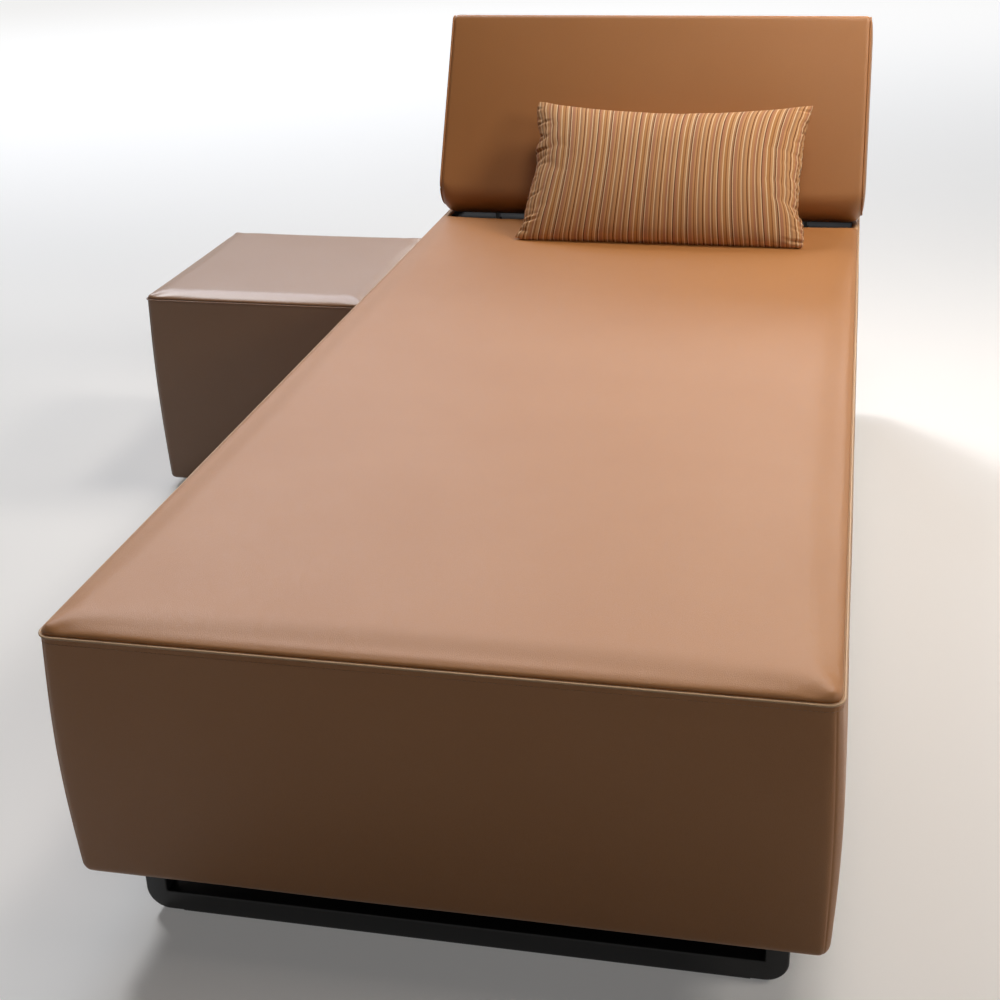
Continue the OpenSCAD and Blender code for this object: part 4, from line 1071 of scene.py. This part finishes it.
def makePillow():
    spec = pillow
    nx, ny = round(spec["cutWidth"] / spec["step"]), round(spec["cutHeight"] / spec["step"])
    index, points, cut, share, sides = {}, [], [], [], []
    for face in (1, -1):
        for j in range(ny + 1):
            for i in range(nx + 1):
                edge = i in (0, nx) or j in (0, ny)
                if edge and face < 0:
                    index[face, i, j] = index[1, i, j]
                    continue
                u, v = 2 * i / nx - 1, 2 * j / ny - 1
                x = u * spec["cutWidth"] / 2 * (1 + spec["bowSide"] * (1 - v * v))
                y = v * spec["cutHeight"] / 2 * (1 + spec["bowEnd"] * (1 - u * u))
                full = ((1 - u ** 2) * (1 - v ** 2)) ** 0.5
                wave = spec["wave"] * ripple((x, y, face), spec["waveSize"], 3.0)
                z = face * (0.0 if edge else spec["loft"] * full + wave)
                index[face, i, j] = len(points)
                points.append((x, y, z))
                cut.append((x, y))
                share.append((u, v))
                sides.append(0 if edge else face)
    faces = []
    for face in (1, -1):
        for j in range(ny):
            for i in range(nx):
                quad = [index[face, i + a, j + b] for a, b in ((0, 0), (1, 0), (1, 1), (0, 1))]
                faces.append(tuple(quad if face > 0 else reversed(quad)))
    piece = meshPiece("pillow", points, faces, "stripedCloth")
    flat, share = np.array(cut), np.array(share)
    uv = piece.data.uv_layers.new(name="cut")
    loops = np.empty(len(piece.data.loops), np.int32)
    piece.data.loops.foreach_get("vertex_index", loops)
    uv.data.foreach_set("uv", flat[loops].astype(np.float32).ravel())
    toSide = (1 - np.abs(share[:, 0])) * spec["cutWidth"] / 2
    gathered = np.clip(1 - toSide / spec["gatherReach"], 0, 1) * spec["gather"]
    relaxed(piece, np.zeros(len(points)), spec["pressure"], cap=0.2, stiff=22, bend=0.35,
            frames=spec["frames"], gathered=gathered)
    points = spots(piece)
    low, high = points.min(0), points.max(0)
    points = (points - (low + high) / 2) / (high - low) * np.array((spec["width"], spec["height"], 2))
    # The filling sinks to the back, and the front is the flatter side
    points[:, 2] *= np.where(points[:, 2] > 0, spec["front"], spec["back"])
    # Each seam keeps its puckers, while its long curve becomes the one a stuffed pillow has
    for axis, sign, hollow in ((0, -1, "hollowSide"), (0, 1, "hollowSide"), (1, 1, "hollowTop"),
                               (1, -1, "hollowFoot")):
        along = share[:, 1 - axis]
        seam = share[:, axis] == sign
        curve = np.polyfit(along[seam], points[seam, axis] * sign, 4)
        wanted = spec["width" if axis == 0 else "height"] / 2 - spec[hollow] * (1 - along ** 2)
        near = np.clip(share[:, axis] * sign, 0, 1) ** 1.5
        points[:, axis] += sign * (wanted - np.polyval(curve, along)) * near
    # The sewn shape gives the broad form, and the cloth adds its folds, most of them at the ends
    u, v, sides = share[:, 0], share[:, 1], np.array(sides)
    acrossPower, upPower, depthPower = spec["plump"]
    full = ((1 - np.abs(u) ** acrossPower) * (1 - np.abs(v) ** upPower)) ** depthPower
    hollow = np.where(v > 0, spec["hollowTop"], spec["hollowFoot"])
    plain = np.stack([u * (spec["width"] / 2 - spec["hollowSide"] * (1 - v ** 2)),
                      v * (spec["height"] / 2 - hollow * (1 - u ** 2)),
                      full * np.where(sides > 0, spec["front"], -spec["back"]) * np.abs(sides)], axis=1)
    weight = (spec["plain"] - spec["plainEnds"] * np.abs(u) ** 6)[:, None]
    points = plain * weight + points * (1 - weight)
    points[:, :2] *= np.array((spec["width"], spec["height"])) / 2 / np.abs(points[:, :2]).max(0)
    setSpots(piece, points)
    refined(piece)
    points = creased(piece, spots(piece), spec)
    lean = math.radians(spec["lean"])
    placed = np.stack([spec["across"] + points[:, 0],
                       points[:, 1] * math.sin(lean) - points[:, 2] * math.cos(lean),
                       points[:, 1] * math.cos(lean) + points[:, 2] * math.sin(lean)], axis=1)
    # It stands on its lower seam, flattened behind it by its weight, and leans on the backrest
    floor = seatHigh.z + spec["contact"]
    placed[:, 2] += floor + spec["seamLift"] + spec["height"] / 2 * math.cos(lean)
    print("pillow sinks in by, mm", round((floor - placed[:, 2].min()) / mm, 1))
    placed[:, 2] = np.maximum(placed[:, 2], floor)
    shape = bmesh.new()
    shape.from_mesh(bpy.data.objects["backrestPad"].data)
    wall = BVHTree.FromBMesh(shape)
    shape.free()
    hits = [wall.ray_cast(Vector((p[0], hinge[1] - 1, p[2])), Vector((0, 1, 0)))[0] for p in placed[::3]]
    placed[:, 1] += min(hit.y - p[1] for hit, p in zip(hits, placed[::3]) if hit) - spec["contact"]
    setSpots(piece, placed)
    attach(piece, "pillow")
    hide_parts("pillow_cover", "pillow_filling")
    print("pillow", len(piece.data.polygons))


makePillow()

# The stool's lid and boxing are made like the seat's
lidLow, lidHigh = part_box("stool_top_cover")
stoolLow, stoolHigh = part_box("stool_side_cover")
stool = dict(
    rect=(lidLow.x, lidHigh.x, lidLow.y, lidHigh.y), corner=11 * mm,
    low=stoolLow.z, high=stoolHigh.z, roll=9 * mm, bulge=4 * mm, shell=1.5 * mm, hem=18 * mm, rim=4 * mm,
    column=12 * mm, arcColumn=5 * mm, row=12 * mm, groove=1.5 * mm, grooveDepth=0.9 * mm,
    seams=[(0, 0.4), (6, 0.6), (2, 0.6), (4, 0.4)],
    pucker=0.1 * mm, soft=0.6 * mm, pressure=1.0, cap=1.5 * mm, stitchDrop=6 * mm, stitchStand=0.1 * mm,
    # The stool's cover, lid and welt take the leather painted darker for shade
    weltRadius=1.2 * mm, paint="stoolShadedCover",
)
lid = dict(
    near=11 * mm, far=11 * mm, roll=44 * mm, groove=8 * mm, step=12 * mm,
    dome=1.2 * mm, domeReach=140 * mm,
    pucker=0.1 * mm, puckerReach=20 * mm, puckerSize=13 * mm, puckerSeed=5.5, waveRise=1,
    tuck=0.0, cap=2.5 * mm, bend=5, frames=14,
)


def makeStool():
    spec = stool
    pad = softLid("stoolPad", lid, lidLow, lidHigh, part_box("stool_lid_board")[1].z, spec["paint"])
    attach(pad, "stool")
    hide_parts("stool_top_cover", "stool_foam")
    cover, path = boxing("stoolShadedCover", spec)
    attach(cover, "stool")
    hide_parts("stool_side_cover", "stool_padding")
    spans, total = roundedEdge(*spec["rect"], spec["corner"], spec["corner"])
    base, outs = alongEdge(spans, edgeRuns(spans, 10 * mm, 3 * mm))
    z = (lidLow.z + stoolHigh.z) / 2
    cord = grown("stoolWelt", [(*(p + o * spec["weltRadius"] * 0.8), z) for p, o in zip(base, outs)], welts,
                 dict(Radius=spec["weltRadius"], Strip=5 * mm, Thickness=1 * mm, Spacing=4 * mm,
                      Material=paints["stoolShadedCover"]))
    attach(cord, "stool")
    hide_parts("stool_welt")
    print("stool", len(pad.data.polygons), len(cover.data.polygons))


makeStool()

# Legs, lining and dust sheets
sled = dict(tube=25 * mm, bend=26 * mm, edge=2.2 * mm, sharpAngle=40)
weld = dict(points=56, radius=1.9 * mm, below=1.0 * mm, cornerCut=0.03, wobble=0.012, wobbleSize=4 * mm)
blackSheet = dict(
    pitch=12 * mm, thick=0.5 * mm, sag=1.2 * mm, sagReach=120 * mm, waveSize=150 * mm,
    stapleIn=7 * mm, stapleTurn=6 * mm, stapleLong=10 * mm, stapleThick=0.9 * mm,
)
lining = dict(longest=25 * mm, cuts=6, wave=0.25 * mm, waveSize=30 * mm)


def tubeTree():
    # A square tube with rounded edges, bent along a path
    tree, given, made = treeFor("squareTube", [("Tube", "Float", 25 * mm), ("Edge", "Float", 2 * mm),
                                               ("Bend", "Float", 13 * mm), ("Material", "Material", None)])
    path = geo(tree, "MeshToCurve")
    bent = geo(tree, "FilletCurve", dict(mode="POLY"), Count=10)
    square = geo(tree, "CurvePrimitiveQuadrilateral")
    softened = geo(tree, "FilletCurve", dict(mode="POLY"), Count=5)
    swept = geo(tree, "CurveToMesh", Fill_Caps=True)
    real = geo(tree, "RealizeInstances")
    coat = geo(tree, "SetMaterial")
    wire(tree, (given.outputs["Geometry"], path.inputs[0]), (path.outputs[0], bent.inputs[0]),
         (given.outputs["Bend"], bent.inputs["Radius"]), (given.outputs["Tube"], square.inputs["Width"]),
         (given.outputs["Tube"], square.inputs["Height"]), (square.outputs[0], softened.inputs[0]),
         (given.outputs["Edge"], softened.inputs["Radius"]), (bent.outputs[0], swept.inputs[0]),
         (softened.outputs[0], swept.inputs["Profile Curve"]), (swept.outputs[0], real.inputs[0]),
         (real.outputs[0], coat.inputs[0]), (given.outputs["Material"], coat.inputs["Material"]),
         (coat.outputs[0], made.inputs[0]))
    return tree


def makeLegs():
    tubes = tubeTree()
    half = sled["tube"] / 2
    for name, node in (("frontSled", "front_leg"), ("rearSled", "rear_leg")):
        low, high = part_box(node)
        y = (low.y + high.y) / 2
        path = [(low.x + half, y, high.z), (low.x + half, y, low.z + half), (high.x - half, y, low.z + half),
                (high.x - half, y, high.z)]
        leg = grown(name, path, tubes, dict(Tube=sled["tube"], Edge=sled["edge"], Bend=sled["bend"] - half,
                                            Material=paints["powderCoat"]), closed=False)
        leg.data.set_sharp_from_angle(angle=math.radians(sled["sharpAngle"]))
        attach(leg, "lounger")
        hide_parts(node)
        # A weld runs round each upright, under its plate
        for side, x in (("Left", low.x + half), ("Right", high.x - half)):
            ring = []
            for i in range(weld["points"]):
                a = 2 * math.pi * i / weld["points"]
                cut = 1 - weld["cornerCut"] * abs(math.sin(2 * a))
                wobble = 1 + weld["wobble"] * ripple((i * 3 * mm, x, y), weld["wobbleSize"])
                far = half / max(abs(math.cos(a)), abs(math.sin(a))) * cut * wobble
                ring.append((x + far * math.cos(a), y + far * math.sin(a), high.z - weld["below"]))
            bead = grown(name + "Weld" + side, ring, welts, dict(
                Radius=weld["radius"], Strip=1 * mm, Thickness=0.5 * mm, Spacing=2.5 * mm,
                Material=paints["powderCoat"]))
            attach(bead, "lounger")


def makeDustSheet(name, node, body_, pitch):
    # Black cloth stapled under a box, hanging slack by a hair between its staples
    low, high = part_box(node)
    spec = blackSheet
    nx, ny = round((high.x - low.x) / spec["pitch"]), round((high.y - low.y) / spec["pitch"])
    points, faces = [], []
    for j in range(ny + 1):
        for i in range(nx + 1):
            x, y = low.x + (high.x - low.x) * i / nx, low.y + (high.y - low.y) * j / ny
            edge = min(x - low.x, high.x - x, y - low.y, high.y - y)
            wave = 0.6 + 0.8 * ripple((x, y, 0), spec["waveSize"], 8.0)
            slack = spec["sag"] * min(1, edge / spec["sagReach"]) * wave
            points.append((x, y, (low.z + high.z) / 2 - slack))
    faces = [(j * (nx + 1) + i, (j + 1) * (nx + 1) + i, (j + 1) * (nx + 1) + i + 1, j * (nx + 1) + i + 1)
             for j in range(ny) for i in range(nx)]
    sheet = meshPiece(name, points, faces, "blackCloth")
    wall = sheet.modifiers.new("wall", "SOLIDIFY")
    wall.thickness, wall.offset = spec["thick"], 0
    applied(sheet)
    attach(sheet, body_)
    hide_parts(node)
    inset, corner = spec["stapleIn"], spec["stapleTurn"]
    spans, total = roundedEdge(low.x + inset, high.x - inset, low.y + inset, high.y - inset, corner, corner)
    base, outs = alongEdge(spans, np.arange(0, total, corner))
    wires = grown(name + "Staples", [(*p, (low.z + high.z) / 2 - spec["thick"]) for p in base], stitches,
                  dict(Pitch=pitch, Length=spec["stapleLong"], Thickness=spec["stapleThick"],
                       Material=paints["zincSteel"]))
    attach(wires, body_)


def makeSlotCloth():
    # The lining of the slot under the backrest: the tray's own shape, with the small waves of glued cloth
    piece = bpy.data.objects.new("slotCloth", frame["nodes"]["slot_lining"].data.copy())
    scene.collection.objects.link(piece)
    shape = bmesh.new()
    shape.from_mesh(piece.data)
    bmesh.ops.remove_doubles(shape, verts=shape.verts, dist=0.02 * mm)
    long = [edge for edge in shape.edges if edge.calc_length() > lining["longest"]]
    bmesh.ops.subdivide_edges(shape, edges=long, cuts=lining["cuts"])
    for vert in shape.verts:
        vert.co.z += lining["wave"] * ripple(vert.co, lining["waveSize"], 1.0)
    shape.to_mesh(piece.data)
    shape.free()
    piece.data.materials.clear()
    piece.data.materials.append(paints["blackCloth"])
    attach(piece, "lounger")
    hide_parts("slot_lining", "slot_foam")


makeLegs()
makeDustSheet("dustSheet", "dust_cover", "lounger", 42 * mm)
makeDustSheet("stoolDustSheet", "stool_dust_cover", "stool", 34 * mm)
makeSlotCloth()
print("legs, lining and dust sheets")

# The made parts of the frame keep their shape and get their finish
nodePaints = dict(
    birchPly=["side_rails", "end_rails", "cross_rails", "corner_blocks", "deck_board", "hinge_blocks",
              "back_board", "stool_carcass", "stool_lid_board"],
    powderCoat=["leg_plates"],
    zincSteel=["leg_bolts", "hinge_ears", "ear_screws", "hinge_pins", "hinge_arms", "arm_screws"],
    rubber=["foot_strips", "stool_feet"],
    blackPaint=["stool_plinth"],
)
for paint, names in nodePaints.items():
    for name in names:
        mesh = frame["nodes"][name].data
        mesh.materials.clear()
        mesh.materials.append(paints[paint])
print("frame finished")
